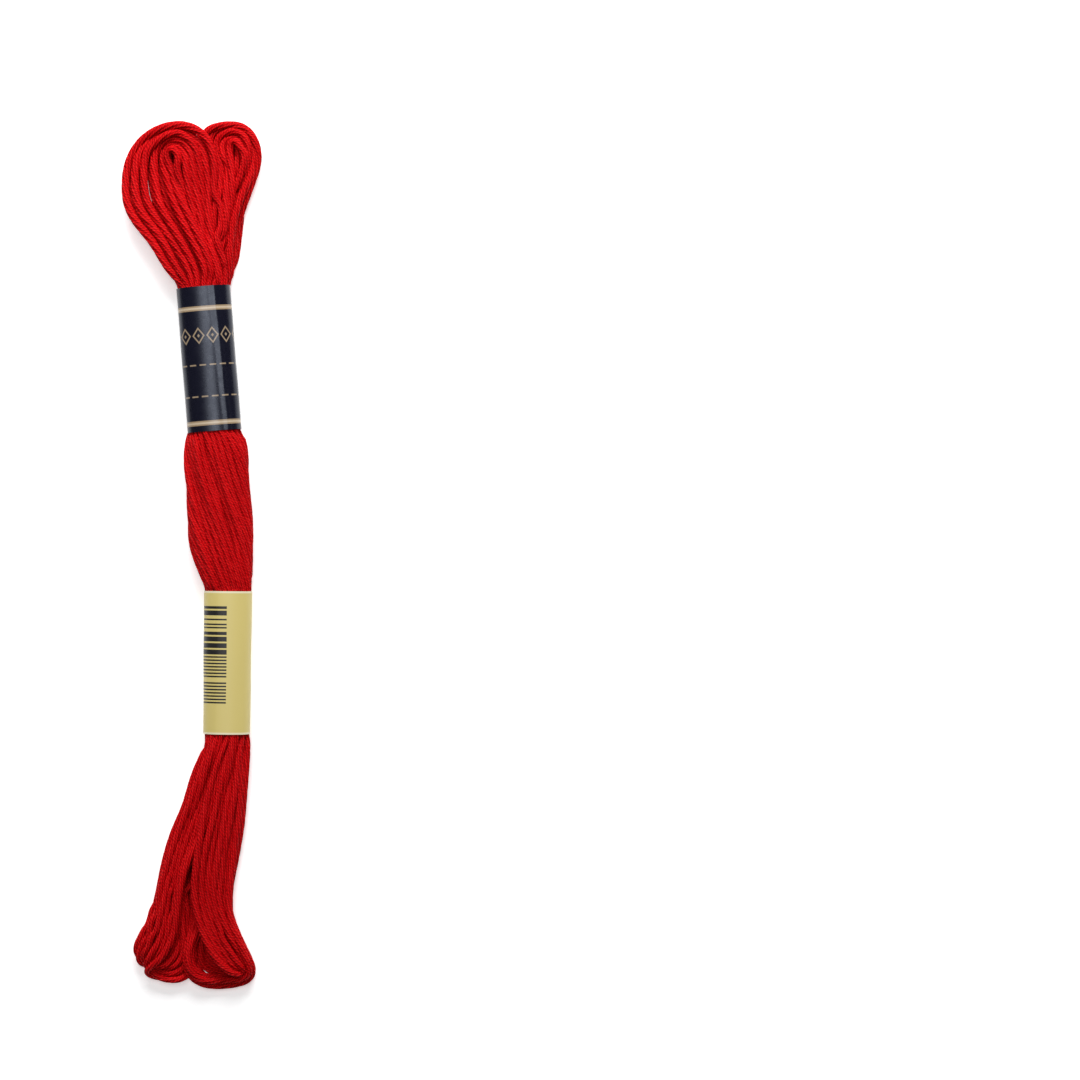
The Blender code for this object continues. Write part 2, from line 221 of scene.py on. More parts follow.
# %% The trunk's sections
TRUNK = (
    # x, y, lean_deg, half_width, half_height, z, twist_deg
    (2.55, 48.0, 4.5, 4.6, 2.75, 3.1, -2.0),
    (3.5, 36.0, 4.5, 4.6, 2.75, 3.1, -30.0),
    (4.5, 23.4, 4.5, 4.9, 2.85, 3.05, -56.0),
    (4.72, 22.0, 4.5, 5.58, 2.8, 2.9, -61.0),
    (4.88, 20.8, 4.3, 5.75, 2.9, 2.95, -65.0),
    (5.08, 16.0, 4.0, 5.86, 2.95, 3.0, -77.0),
    (5.35, 9.9, 3.0, 5.88, 3.0, 3.0, -96.0),
    (5.88, 3.6, 2.0, 5.92, 2.95, 3.0, -115.0),
    (6.3, -0.8, 1.2, 5.35, 2.9, 3.0, -127.0),
    (6.75, -4.2, 0.4, 4.8, 2.88, 3.0, -134.0),
    (7.05, -6.6, 0.0, 4.5, 2.85, 3.0, -139.5),
    (7.08, -8.4, 0.0, 4.25, 2.75, 3.0, -143.0),
    (6.95, -20.0, 0.0, 4.15, 2.75, 3.1, -162.0),
    (6.8, -32.4, 0.0, 4.1, 2.75, 3.1, -178.0),
)
print("the legs turn", TRUNK[0][-1] - TRUNK[-1][-1], "degrees on the way down")

# %% [markdown]
# ### The two loops at the top
# The left loop opens into a fan with a long, narrow eye; the right one is smaller and lies lower.
# A loop is a bundle that turns right round, so a section is given by its outer edge, its inner edge
# on the side of the eye, its middle height and its half height.

# %% The left loop at the top
TOP_LEFT_LOOP = (
    # outer_x, outer_y, inner_x, inner_y, z, half_height
    (-3.5, 51.0, 6.9, 51.4, 4.15, 1.6),
    (-5.3, 53.8, 5.9, 54.4, 4.1, 1.6),
    (-6.7, 56.6, 4.2, 57.7, 3.9, 1.6),
    (-8.5, 58.8, 2.6, 60.9, 3.6, 1.6),
    (-11.1, 61.9, 1.2, 64.1, 3.15, 1.6),
    (-12.5, 65.6, 0.1, 66.9, 2.65, 1.6),
    (-12.5, 69.8, -1.0, 69.8, 2.15, 1.55),
    (-11.6, 73.4, -2.5, 72.0, 1.85, 1.5),
    (-9.7, 75.9, -3.5, 73.4, 1.85, 1.6),
    (-6.8, 78.0, -3.7, 74.1, 2.05, 1.75),
    (-3.7, 79.3, -3.4, 74.4, 2.45, 1.85),
    (-0.8, 79.5, -3.0, 74.3, 2.9, 1.85),
    (2.0, 78.3, -2.8, 73.9, 3.25, 1.75),
    (4.0, 75.6, -2.7, 73.0, 3.3, 1.75),
    (5.0, 72.0, -3.0, 71.0, 3.1, 1.75),
    (5.5, 68.0, -2.5, 67.6, 2.5, 1.75),
    (5.9, 63.0, -1.4, 63.0, 2.1, 1.65),
    (6.2, 58.0, 0.2, 58.0, 2.3, 1.55),
    (7.0, 53.0, 1.8, 53.0, 2.6, 1.45),
    (7.2, 50.8, 2.6, 50.6, 2.8, 1.5),
)
print("sections of the left loop:", len(TOP_LEFT_LOOP))

# %% The right loop at the top
TOP_RIGHT_LOOP = (
    (2.0, 51.0, 5.8, 51.0, 1.6, 1.2),
    (3.6, 56.0, 7.0, 56.0, 1.8, 1.4),
    (4.3, 62.0, 8.0, 62.0, 2.0, 1.6),
    (4.3, 68.0, 9.1, 67.8, 1.95, 1.7),
    (3.2, 73.0, 9.4, 71.4, 1.5, 1.45),
    (1.6, 76.2, 9.4, 73.8, 1.3, 1.3),
    (1.5, 77.8, 9.2, 74.6, 1.25, 1.25),
    (3.6, 79.0, 8.9, 75.2, 1.35, 1.35),
    (6.6, 79.3, 8.9, 75.5, 1.7, 1.7),
    (9.2, 79.2, 9.0, 75.4, 1.95, 1.85),
    (11.1, 78.0, 9.3, 74.8, 1.95, 1.85),
    (12.0, 75.0, 9.3, 73.2, 1.85, 1.8),
    (11.7, 71.6, 8.8, 71.0, 1.7, 1.65),
    (10.4, 67.6, 7.6, 68.0, 1.5, 1.45),
    (8.7, 64.0, 6.0, 65.0, 1.35, 1.3),
    (7.5, 60.4, 4.9, 61.0, 1.3, 1.25),
    (7.1, 56.0, 4.2, 56.4, 1.45, 1.3),
    (7.2, 51.0, 3.6, 51.0, 1.8, 1.2),
)
print("sections of the right loop:", len(TOP_RIGHT_LOOP))

# %% [markdown]
# ### The folded loops at the bottom
# The bottom loops lie folded over like the turn-up of a trouser leg.  Their tables follow a sheet
# of strands down the front, round the fold and back underneath: the centre of the strand at each
# edge of the sheet.  Every second strand lies `under` mm higher than the sheet, or lower where that
# is negative, and is tucked in by `tuck` mm at the fold.

# %% The left loop at the bottom
BOTTOM_LEFT_SHEET = (
    # edge_x, edge_y, edge_z, other_x, other_y, other_z, under, tuck
    (3.9, -35.4, 4.3, 6.6, -35.2, 4.95, -1.05, 0.0),
    (1.2, -40.6, 3.9, 5.6, -41.2, 4.9, -1.05, 0.0),
    (-0.6, -46.6, 3.6, 3.6, -47.4, 4.7, -1.05, 0.0),
    (-3.1, -51.7, 3.3, 2.1, -52.5, 4.5, -1.05, 0.0),
    (-4.6, -56.6, 3.1, 0.5, -57.6, 4.4, -1.05, 0.0),
    (-5.6, -61.5, 3.0, -1.3, -62.4, 4.3, -1.05, 0.0),
    (-6.8, -65.8, 2.95, -1.9, -66.7, 4.2, -1.05, 0.0),
    (-8.5, -69.5, 2.9, -2.2, -70.0, 3.85, -1.05, 0.1),
    (-10.1, -72.4, 2.75, -3.3, -72.8, 3.6, -1.0, 0.2),
    (-10.5, -73.9, 2.45, -4.8, -75.0, 3.35, -0.9, 0.35),
    (-10.4, -75.0, 2.1, -6.7, -76.0, 3.05, -0.7, 0.45),
    (-9.5, -75.7, 1.65, -8.3, -76.3, 2.55, -0.3, 0.5),
    (-8.5, -76.0, 1.2, -8.6, -76.7, 2.0, 0.2, 0.7),
    (-7.0, -75.9, 0.85, -7.5, -77.7, 1.2, 0.6, 0.6),
    (-5.6, -75.1, 0.7, -5.8, -78.8, 0.85, 0.9, 0.4),
    (-4.5, -73.6, 0.6, -3.8, -79.0, 0.75, 0.95, 0.1),
    (-3.8, -71.0, 0.6, -1.0, -78.9, 0.62, 0.85, 0.0),
    (-3.4, -67.5, 0.6, 0.3, -77.4, 0.6, 0.8, 0.0),
    (-3.1, -63.0, 0.6, 0.5, -72.6, 0.6, 0.8, 0.0),
    (-2.6, -58.5, 0.6, 0.5, -65.6, 0.6, 0.85, 0.0),
    (-1.6, -53.0, 0.6, 1.6, -57.0, 0.6, 1.05, 0.0),
    (0.2, -47.0, 0.7, 3.2, -50.0, 0.65, 1.05, 0.0),
    (2.2, -41.0, 0.85, 5.0, -43.0, 0.75, 1.05, 0.0),
    (4.0, -35.6, 1.3, 6.4, -36.0, 0.9, 1.05, 0.0),
)
print("sections of the left sheet:", len(BOTTOM_LEFT_SHEET))

# %% The right loop at the bottom
BOTTOM_RIGHT_SHEET = (
    (6.6, -35.2, 4.95, 10.0, -35.4, 4.2, -1.05, 0.0),
    (4.9, -42.0, 4.95, 9.8, -42.0, 3.9, -1.05, 0.0),
    (3.2, -48.5, 4.9, 9.4, -49.0, 3.7, -1.05, 0.0),
    (1.9, -53.6, 4.8, 8.7, -54.0, 3.6, -1.05, 0.0),
    (1.1, -58.4, 4.7, 8.0, -58.6, 3.5, -1.05, 0.0),
    (0.9, -62.5, 4.6, 7.4, -62.6, 3.5, -1.05, 0.0),
    (1.5, -66.6, 4.5, 7.5, -66.2, 3.5, -1.05, 0.0),
    (2.6, -70.4, 4.4, 8.5, -69.8, 3.45, -1.05, 0.2),
    (4.4, -73.8, 4.2, 9.8, -72.7, 3.35, -1.0, 0.5),
    (6.2, -76.2, 3.9, 10.9, -75.3, 3.1, -0.9, 0.8),
    (8.2, -77.7, 3.4, 11.5, -76.9, 2.7, -0.6, 1.0),
    (9.8, -77.9, 2.6, 11.4, -77.4, 2.0, -0.2, 1.0),
    (10.0, -77.4, 1.7, 10.8, -77.8, 1.3, 0.3, 1.0),
    (9.0, -76.8, 1.05, 9.4, -78.2, 0.85, 0.7, 0.7),
    (7.6, -75.5, 0.75, 6.7, -78.4, 0.7, 0.95, 0.3),
    (6.6, -73.2, 0.65, 2.8, -78.4, 0.62, 1.0, 0.1),
    (6.4, -69.8, 0.6, 1.2, -77.1, 0.58, 0.9, 0.0),
    (6.5, -65.0, 0.6, 1.1, -74.4, 0.58, 0.9, 0.0),
    (6.9, -60.0, 0.6, 1.6, -67.0, 0.6, 0.95, 0.0),
    (7.5, -54.0, 0.6, 3.0, -58.6, 0.6, 1.05, 0.0),
    (8.1, -47.0, 0.7, 4.2, -51.0, 0.6, 1.05, 0.0),
    (8.8, -41.0, 0.85, 5.8, -43.5, 0.7, 1.05, 0.0),
    (9.6, -35.6, 1.3, 6.8, -36.0, 0.9, 1.05, 0.0),
)
FOLD_ROW = 11                  # the row of both tables at the fold
print("sections of the right sheet:", len(BOTTOM_RIGHT_SHEET))

# %% [markdown]
# ### Three strays
# A skein that has been handled is never quite tidy.  Three turns of the right loop have slipped:
# they come back along the bottom edge and curl up in front of the others, round a narrow gap.

# %% The way of the strays
STRAY_PATH = (
    # x, y, z of the middle strand; reach is the half width of the three
    (10.8, -77.9, 1.3, 0.6),
    (9.2, -78.3, 1.1, 0.6),
    (6.6, -78.6, 1.1, 0.6),
    (3.8, -79.1, 1.5, 0.55),
    (1.5, -78.7, 2.3, 0.45),
    (0.0, -77.4, 2.9, 0.4),
    (-0.6, -75.4, 3.1, 0.4),
    (-0.5, -73.2, 3.1, 0.4),
    (0.1, -71.0, 2.8, 0.45),
    (1.7, -68.2, 2.0, 0.55),
    (3.1, -64.2, 1.6, 0.6),
    (3.5, -59.0, 1.5, 0.6),
    (4.8, -52.0, 1.2, 0.6),
    (6.2, -44.0, 1.2, 0.6),
    (7.4, -36.0, 1.5, 0.6),
)
STRAYS = 3
print("turns that stray:", STRAYS, "of", TURNS)

# %% [markdown]
# ## From tables to strands
# In the trunk the strands lie in three rings, one inside the other, like the wires of a cable.  The
# rings are ovals that are a little square at the corners, because a hand has pressed the skein
# flat.  A heap of strands dropped at random would need far longer to settle.

# %% A full oval
OVAL_FULLNESS = 0.74           # 1 is a plain oval, less is fuller at the corners


def fuller(value, power):
    """A cosine or sine brought nearer to 1, which fills the corners of an oval."""
    return np.sign(value) * np.abs(value) ** power


def on_the_oval(half_width, half_height, share):
    """The place at a given share of the way round a full, slightly square oval."""
    angle = np.linspace(0, 2 * math.pi, 361)
    across = half_width * fuller(np.cos(angle), OVAL_FULLNESS)
    up = half_height * fuller(np.sin(angle), OVAL_FULLNESS)
    walk = np.concatenate([[0], np.cumsum(np.hypot(np.diff(across), np.diff(up)))])
    at = (share % 1.0) * walk[-1]
    return np.interp(at, walk, across), np.interp(at, walk, up)


print("a quarter of the way round:", rounded(on_the_oval(5.0, 2.5, 0.25)))

# %% The legs in the trunk
RINGS = (
    # inset in mm, places on the ring, how many of them each leg takes
    (0.0, 23, (6, 6, 6, 5)),
    (1.02, 17, (4, 4, 4, 5)),
    (1.98, 8, (2, 2, 2, 2)),
)
FIRST_SHARE = 0.20             # how far round the first leg begins, as a share of the oval
ROUND_THE_OVAL = (0, 3, 2, 1)  # the legs in the order in which they lie round the trunk
SMALLEST_RING = (0.40, 0.25)   # mm, half sizes that a ring keeps however far in it lies


def trunk_strand(sections, inset, first_share):
    """One strand through the trunk, on the ring that lies `inset` mm in."""
    path = []
    for x, y, lean_deg, half_width, half_height, z, twist_deg in sections:
        halves = [max(half - STRAND_RADIUS - inset, least)
                  for half, least in zip((half_width, half_height), SMALLEST_RING)]
        u, v = on_the_oval(*halves, first_share + twist_deg / 360.0)
        lean = math.radians(lean_deg)
        path.append((x + u * math.cos(lean), y + u * math.sin(lean), z + v))
    return path


legs = [[], [], [], []]
upwards = through_rows(TRUNK, steps=6)[::-1]
for inset, count, split in RINGS:
    for place, leg in enumerate(np.repeat(ROUND_THE_OVAL, split)):
        legs[leg].append(trunk_strand(upwards, inset, FIRST_SHARE + (place + 0.5) / count))
legs = np.array(legs)
print("legs, strands, points and coordinates:", legs.shape)

# %% [markdown]
# In the loops the strands lie side by side in two layers, every second one lower.  Two layers hold
# the loop together and leave dark grooves between the upper strands, as flat rows would not.

# %% Strands of a loop
def loop_strands(rows):
    """Twelve strands side by side through a table of sections, every second one lower."""
    dense = through_rows(rows)
    outer, inner, z, half_height = dense[:, :2], dense[:, 2:4], dense[:, 4], dense[:, 5]
    width = np.linalg.norm(inner - outer, axis=1)
    made = []
    for i in range(TURNS):
        share = (STRAND_RADIUS + (width - 2 * STRAND_RADIUS) * i / (TURNS - 1)) / width
        lift = (-1.0) ** i * np.maximum(half_height - STRAND_RADIUS, 0.0)
        made.append(np.column_stack([outer + (inner - outer) * share[:, None], z + lift]))
    return made


top_left, top_right = loop_strands(TOP_LEFT_LOOP), loop_strands(TOP_RIGHT_LOOP)
print("strands at the top:", len(top_left) + len(top_right))

# %% Strands of a folded sheet
FOLD_BLEND = 3.0               # rows of the table over which the others take the strays' room


def sheet_strands(rows, inward, strays=0):
    """Strands of a folded sheet; `inward` points from the fold to the sheet."""
    dense = through_rows(rows)
    edge, other, under, tuck = dense[:, :3], dense[:, 3:6], dense[:, 6:7], dense[:, 7:8]
    row = np.arange(len(dense))[:, None] / STEPS
    gone = np.clip((row - FOLD_ROW + FOLD_BLEND / 2) / FOLD_BLEND, 0.0, 1.0) * strays
    return [edge + (other - edge) * (i / (TURNS - 1 - gone))
            + (i % 2) * np.hstack([tuck * inward, under]) for i in range(TURNS)]


bottom_left = sheet_strands(BOTTOM_LEFT_SHEET, (0.6, 0.8))
bottom_right = sheet_strands(BOTTOM_RIGHT_SHEET, (-0.6, 0.8), STRAYS)
print("strands at the bottom:", len(bottom_left) + len(bottom_right))

# %% Let three strands stray
STRAY_LIFTS = (-0.25, 0.45, -0.25)     # mm from the table's way up to each of the three


def directions(path):
    """Along a flat path and square to it, at each of its points."""
    along = np.gradient(path, axis=0)
    along /= np.linalg.norm(along, axis=1)[:, None]
    return along, np.column_stack([-along[:, 1], along[:, 0]])


way = through_rows(STRAY_PATH)
_, across = directions(way[:, :2])
for place, lift in enumerate(STRAY_LIFTS):
    beside = across * ((place - (STRAYS - 1) / 2) * way[:, 3:4])
    stray = np.column_stack([way[:, :2] + beside, way[:, 2] + lift])
    kept = bottom_right[TURNS - STRAYS + place][:FOLD_ROW * STEPS]
    bottom_right[TURNS - STRAYS + place] = np.vstack([kept, stray])
print("points on a stray:", len(bottom_right[-1]), "on the others:", len(bottom_right[0]))

# %% [markdown]
# ## One strand, twelve times round
# The legs and loops are still 96 short pieces.  Real floss runs through all of them in one go: up
# a leg, round a loop, down the next leg, through eight stages, twelve times.  Where a stage ends,
# each strand goes on to one of the next, and pairs are swapped while that shortens the way.

# %% The stages of one turn
def backwards(strands):
    return [path[::-1] for path in strands]


stages = [legs[0], top_left, backwards(legs[1]), backwards(bottom_left),
          legs[2], backwards(top_right), backwards(legs[3]), bottom_right]
print("stages:", len(stages), "pieces:", sum(len(stage) for stage in stages))

# %% Which strand goes on to which
def best_pairs(here, there):
    """For each strand of a stage, the strand of the next stage that it goes on to."""
    ends, starts = (np.array([path[at] for path in stage])
                    for stage, at in ((here, -1), (there, 0)))
    cost = np.linalg.norm(ends[:, None] - starts, axis=2) ** 2
    pair, better = np.arange(TURNS), True
    while better:
        better = False
        for i, j in combinations(range(TURNS), 2):
            now = cost[i, pair[i]] + cost[j, pair[j]]
            if cost[i, pair[j]] + cost[j, pair[i]] < now - 1e-9:
                pair[i], pair[j] = pair[j], pair[i]
                better = True
    print("longest step on, mm:", *rounded([cost[np.arange(TURNS), pair].max() ** 0.5]))
    return pair, cost


matched = [best_pairs(*both) for both in zip(stages, stages[1:] + stages[:1])]
pairs, last_cost = [pair for pair, _ in matched], matched[-1][1]

# %% [markdown]
# Matched like this, the strands can close into separate rings, and a winding machine makes only
# one.  Swapping two strands of different rings at one junction joins the rings; the swap that costs
# least is taken until a single ring is left.

# %% Closed rings of floss
def follow(strand, number):
    """The strand that is reached from a strand of the first leg after a number of stages."""
    for pair in pairs[:number]:
        strand = pair[strand]
    return strand


def rings():
    """For each strand of the first leg, the ring it belongs to."""
    ring = -np.ones(TURNS, dtype=int)
    for first in range(TURNS):
        strand = first
        while ring[strand] < 0:
            ring[strand] = first
            strand = follow(strand, len(pairs))
    return ring


print("rings before they are joined:", len(set(rings())))

# %% Join the rings
def cheapest_swap(pair, cost):
    """The two strands of different rings that can be swapped at the last junction for least."""
    ring = rings()
    last = [follow(i, len(pairs) - 1) for i in range(TURNS)]
    swaps = [(cost[a, pair[b]] + cost[b, pair[a]] - cost[a, pair[a]] - cost[b, pair[b]], a, b)
             for i, a in enumerate(last) for j, b in enumerate(last) if ring[i] != ring[j]]
    return min(swaps, key=lambda swap: swap[0])[1:]


while len(set(rings())) > 1:
    a, b = cheapest_swap(pairs[-1], last_cost)
    pairs[-1][a], pairs[-1][b] = pairs[-1][b], pairs[-1][a]
print("rings now:", len(set(rings())))

# %% The whole strand
HIDDEN_END = -18.0             # mm along the skein, where the floss begins and ends, in a band

order, strand = [], 0
for _ in range(TURNS):
    for stage, pair in zip(stages, pairs):
        order.append(stage[strand])
        strand = pair[strand]
hidden = int(np.argmin(np.abs(order[0][:, 1] - HIDDEN_END)))
whole = np.vstack([order[0][hidden:], *order[1:], order[0][:hidden]])
print("points along the whole strand:", len(whole))

# %% [markdown]
# ## Even steps, soft bends, a little wandering
# The points are set at even steps, and the corners at the junctions are smoothed.  Then the strand
# wanders a few tenths of a millimetre from its even lay.  The wandering is smooth noise along the
# strand: noise at each point by itself would look like hair, not like cotton.

# %% Even steps and soft bends
SPACING = 0.9                  # mm between the points that settle


def evenly(path, spacing):
    """Points a fixed distance apart along a path."""
    walk = np.concatenate([[0], np.cumsum(np.linalg.norm(np.diff(path, axis=0), axis=1))])
    at = np.linspace(0, walk[-1], int(round(walk[-1] / spacing)) + 1)
    return np.column_stack([np.interp(at, walk, path[:, axis]) for axis in range(3)])


def softened(path, rounds):
    """A path with its kinks smoothed away; its ends stay."""
    path = path.copy()
    for _ in range(rounds):
        path[1:-1] += 0.5 * ((path[:-2] + path[2:]) / 2 - path[1:-1])
    return path


wound = evenly(softened(evenly(whole, SPACING), rounds=6), SPACING)
print("floss wound:", round(len(wound) * SPACING / 1000, 2), "m in", len(wound), "points")

# %% Wandering
WANDER = (0.15, 0.15, 0.40)    # mm, how far floss strays from an even lay
WANDER_LENGTH = 7              # points
WANDER_SEED = 27


def wandering(count, length):
    """Smooth chance offsets along a strand, of size 1, that change over `length` points."""
    chance = np.random.default_rng(WANDER_SEED).standard_normal((count, 3))
    reach = np.arange(-3 * length, 3 * length + 1)
    weight = np.exp(-0.5 * (reach / length) ** 2)
    for axis in range(3):
        chance[:, axis] = np.convolve(chance[:, axis], weight / weight.sum(), mode="same")
    return chance / chance.std(axis=0)


wound += wandering(len(wound), WANDER_LENGTH) * WANDER
print("lowest and highest point, mm:", rounded((wound[:, 2].min(), wound[:, 2].max())))

# %% [markdown]
# ## Let the strands settle
# On the winding machine the strands push each other aside until each has its own place.  Here the
# same happens in small rounds: points of floss that are too close move apart by half the overlap
# each, the moves are evened out along the strand, since floss cannot kink, and every point leans a
# little back to where it was wound.  Blender's cloth and soft bodies could do it too, but they are
# slow and far less steady on eight metres of thin cord.
#
# Three things hold the floss: the card from below, the paper bands from all round, and the grooves
# that a hand has combed into it.

# %% The two bands
PAPER = 0.12                   # mm thick
BAND_HALF_HEIGHT = 3.10        # mm, to the outside
FLAT_UNDERSIDE = 0.15          # mm that the bottom of the oval is pressed flat
BAND_FULLNESS = 2.25           # 2 is a plain oval, more is squarer
# for each band in mm: the middles of its two ends on the card, and half its width at each
UPPER_BAND = dict(top=(2.47, 49.2), bottom=(4.57, 22.6), top_half=4.98, bottom_half=4.98)
LOWER_BAND = dict(top=(7.08, -6.93), bottom=(6.80, -33.3), top_half=4.45, bottom_half=4.32)
BANDS = (UPPER_BAND, LOWER_BAND)
for band in BANDS:
    print("band from", band["top"], "to", band["bottom"])

# %% The room inside the bands
ROOM_HALF_HEIGHT = BAND_HALF_HEIGHT - PAPER
BAND_MIDDLE = BAND_HALF_HEIGHT - FLAT_UNDERSIDE     # mm above the card
SQUEEZE = 1.2                  # mm on either side of a band's end in which the floss is squeezed


def band_half_width(band, share):
    """Half the width of a band at a share of the way up it."""
    return band["bottom_half"] + (band["top_half"] - band["bottom_half"]) * share


def inside_band(band, points):
    """For each point: how far up the band it is, the band's middle there, the inner half width."""
    (top_x, top_y), (bottom_x, bottom_y) = band["top"], band["bottom"]
    share = (points[:, 1] - bottom_y) / (top_y - bottom_y)
    return share, bottom_x + (top_x - bottom_x) * share, band_half_width(band, share) - PAPER


def on_its_oval(u, v):
    """How far out of a band's oval a place is: 1 is on it."""
    return (np.abs(u) ** BAND_FULLNESS + np.abs(v) ** BAND_FULLNESS) ** (1 / BAND_FULLNESS)


def depth_in_band(band, points):
    """How many mm each point lies past the nearer end of a band."""
    return np.minimum(band["top"][1] - points[:, 1], points[:, 1] - band["bottom"][1])


def banded_share(points):
    """1 inside a band, 0 well outside it, for each point."""
    return np.max([np.clip((depth_in_band(band, points) + SQUEEZE) / (2 * SQUEEZE), 0.0, 1.0)
                   for band in BANDS], axis=0)


print("points inside the bands:", int((banded_share(wound) > 0.5).sum()))

# %% Hold the floss inside the bands
SWOLLEN = 1.14                 # settled radii that a strand reaches out to once it is full
EDGE_HOLD = 0.3                # mm past its ends that a band still holds the floss
MOUTH_HOLD = 1.5               # mm past its ends that floss stays lower than the band


def hold_in_bands(points, radius):
    """Move the points that are in the paper or outside it back into the band."""
    for band in BANDS:
        depth = depth_in_band(band, points)
        held = np.nonzero(depth > -EDGE_HOLD)[0]
        _, middle, half = inside_band(band, points[held])
        half -= SWOLLEN * radius[held]
        tall = ROOM_HALF_HEIGHT - SWOLLEN * radius[held]
        u, v = (points[held, 0] - middle) / half, (points[held, 2] - BAND_MIDDLE) / tall
        shrink = 1.0 / np.maximum(on_its_oval(u, v), 1.0)
        points[held, 0] = middle + u * shrink * half
        points[held, 2] = BAND_MIDDLE + v * shrink * tall
        mouth = depth > -MOUTH_HOLD
        highest = BAND_MIDDLE + ROOM_HALF_HEIGHT - SWOLLEN * radius[mouth]
        points[mouth, 2] = np.minimum(points[mouth, 2], highest)


held = wound.copy()
hold_in_bands(held, np.full(len(wound), BANDED_RADIUS))
print("points that the bands push in:", int((held != wound).any(axis=1).sum()))

# %% [markdown]
# ### Grooves
# Where a skein has been handled, the upper strands part and leave a dark groove, and the lower ones
# slide in under it.  Each groove is a short line on the card.  Painted dark stripes would be
# quicker, but they would stay dark in every light.

# %% Grooves between the upper strands
PARTINGS = (
    # mm the strands part, mm above the card from where on they do, points of the line
    (0.08, 2.6, (-7.4, 73.4), (-7.2, 69.7), (-6.7, 66.2), (-5.5, 62.9)),
    (0.08, 2.4, (-4.4, 74.2), (-2.8, 73.6), (-1.8, 71.5), (-0.9, 68.6)),
    (0.12, 3.0, (-8.2, 60.9), (-5.3, 56.9), (-3.8, 54.2)),
    (0.12, 3.0, (-4.0, 75.4), (-2.0, 77.0), (0.2, 77.4), (2.2, 76.6), (3.6, 74.2), (4.2, 70.4)),
    (0.15, 2.0, (7.0, 75.6), (7.6, 77.5), (8.8, 77.4), (9.8, 75.6), (9.7, 73.0), (9.0, 70.6)),
    (0.15, 1.8, (6.5, 74.6), (6.5, 70.0)),
    (0.25, 2.0, (5.2, 66.0), (5.4, 60.0), (6.2, 56.4)),
    (0.60, 1.9, (0.8, -56.0), (-0.2, -61.0), (-0.3, -66.0), (-0.6, -70.4)),
    (0.22, 2.6, (-6.5, -65.0), (-6.5, -73.6)),
    (0.20, 2.6, (-8.1, -68.0), (-8.1, -74.4)),
    (0.18, 2.8, (-3.6, -60.0), (-3.1, -68.5)),
    (0.18, 2.8, (5.2, -69.5), (7.2, -71.6), (9.0, -74.2)),
    (0.18, 2.8, (6.0, -64.0), (6.8, -67.0)),
)
print("grooves:", len(PARTINGS))

# %% Open the grooves
GROOVE_REACH = 2.0             # mm round a groove's line in which points are looked at
GROOVE_BESIDE = 0.8            # mm, no further along the line than this
PUSH_ASIDE = 0.35              # share of the way out that an upper strand goes in a round
DRAW_UNDER = 0.10              # share of the way in that a lower strand goes in a round
UNDER_REACH = 1.0              # mm to either side in which lower strands are drawn in
ENDS_CUT = 0.08                # share of a sine's half wave that a groove leaves out at each end
BLUNTNESS = 0.6                # less than 1 keeps a groove open nearly to its ends


def part_strands(points, radius):
    """Push the upper strands out of the grooves and draw the lower ones in under them."""
    for apart, above, *line in PARTINGS:
        line = np.array(line)
        low, high = line.min(axis=0) - GROOVE_REACH, line.max(axis=0) + GROOVE_REACH
        near = np.nonzero(np.all((points[:, :2] > low) & (points[:, :2] < high), axis=1))[0]
        dense = through_rows(line, steps=8)
        along, across = directions(dense)
        gap = points[near, None, :2] - dense[None]
        closest = np.linalg.norm(gap, axis=2).argmin(axis=1)
        gap = gap[np.arange(len(near)), closest]
        side = (gap * across[closest]).sum(axis=1)
        wave = ENDS_CUT + (1 - 2 * ENDS_CUT) * closest / (len(dense) - 1)
        taper = np.sin(math.pi * wave) ** BLUNTNESS
        away = np.maximum(radius[near] + apart * taper - np.abs(side), 0.0) * np.sign(side)
        under = np.where(np.abs(side) < UNDER_REACH, -side, 0.0)
        push = np.where(points[near, 2] > above, PUSH_ASIDE * away, DRAW_UNDER * under)
        push[np.abs((gap * along[closest]).sum(axis=1)) >= GROOVE_BESIDE] = 0.0
        points[near, :2] += across[closest] * push[:, None]


parted = wound.copy()
part_strands(parted, np.full(len(wound), STRAND_RADIUS))
print("points that the grooves move:", int((parted != wound).any(axis=1).sum()))

# %% [markdown]
# ### Pushing apart
# Comparing every point with every other would take 37 million looks a round.  A search tree finds
# only the near ones, and since nothing moves far, it is asked again only every eighth round.

# %% Who is near whom
NEXT_TO_IT = 3.4               # mm along the floss within which points are not kept apart


def close_pairs(points, reach):
    """Pairs of points that are near each other, but not neighbours on the strand."""
    tree = KDTree(len(points))
    for i, point in enumerate(points):
        tree.insert(point, i)
    tree.balance()
    apart = int(round(NEXT_TO_IT / SPACING))
    found = [(i, j) for i, point in enumerate(points)
             for _, j, _ in tree.find_range(point, reach) if j > i + apart]
    return np.array(found).T


def strand_sizes(points):
    """How thick the floss is at each point: relaxed in the loops, squeezed in the bands."""
    size = np.interp(points[:, 1], (-40.0, -34.0, 50.0, 56.0),
                     (FOLDED_RADIUS, STRAND_RADIUS, STRAND_RADIUS, OPEN_RADIUS))
    return size + (BANDED_RADIUS - size) * banded_share(points)


print("radius by place, mm:", np.unique(strand_sizes(wound).round(2)).tolist()[::4])

# %% Settle
SETTLING_ROUNDS = 140
SEARCH_EVERY = 8               # rounds between two searches for near points
SEARCH_REACH = 2 * OPEN_RADIUS + 0.5     # mm
TALLEST = 6.4                  # mm above the card: a hand has pressed the skein flat
PULL_BACK = 0.045              # share of its move that a point gives back each round


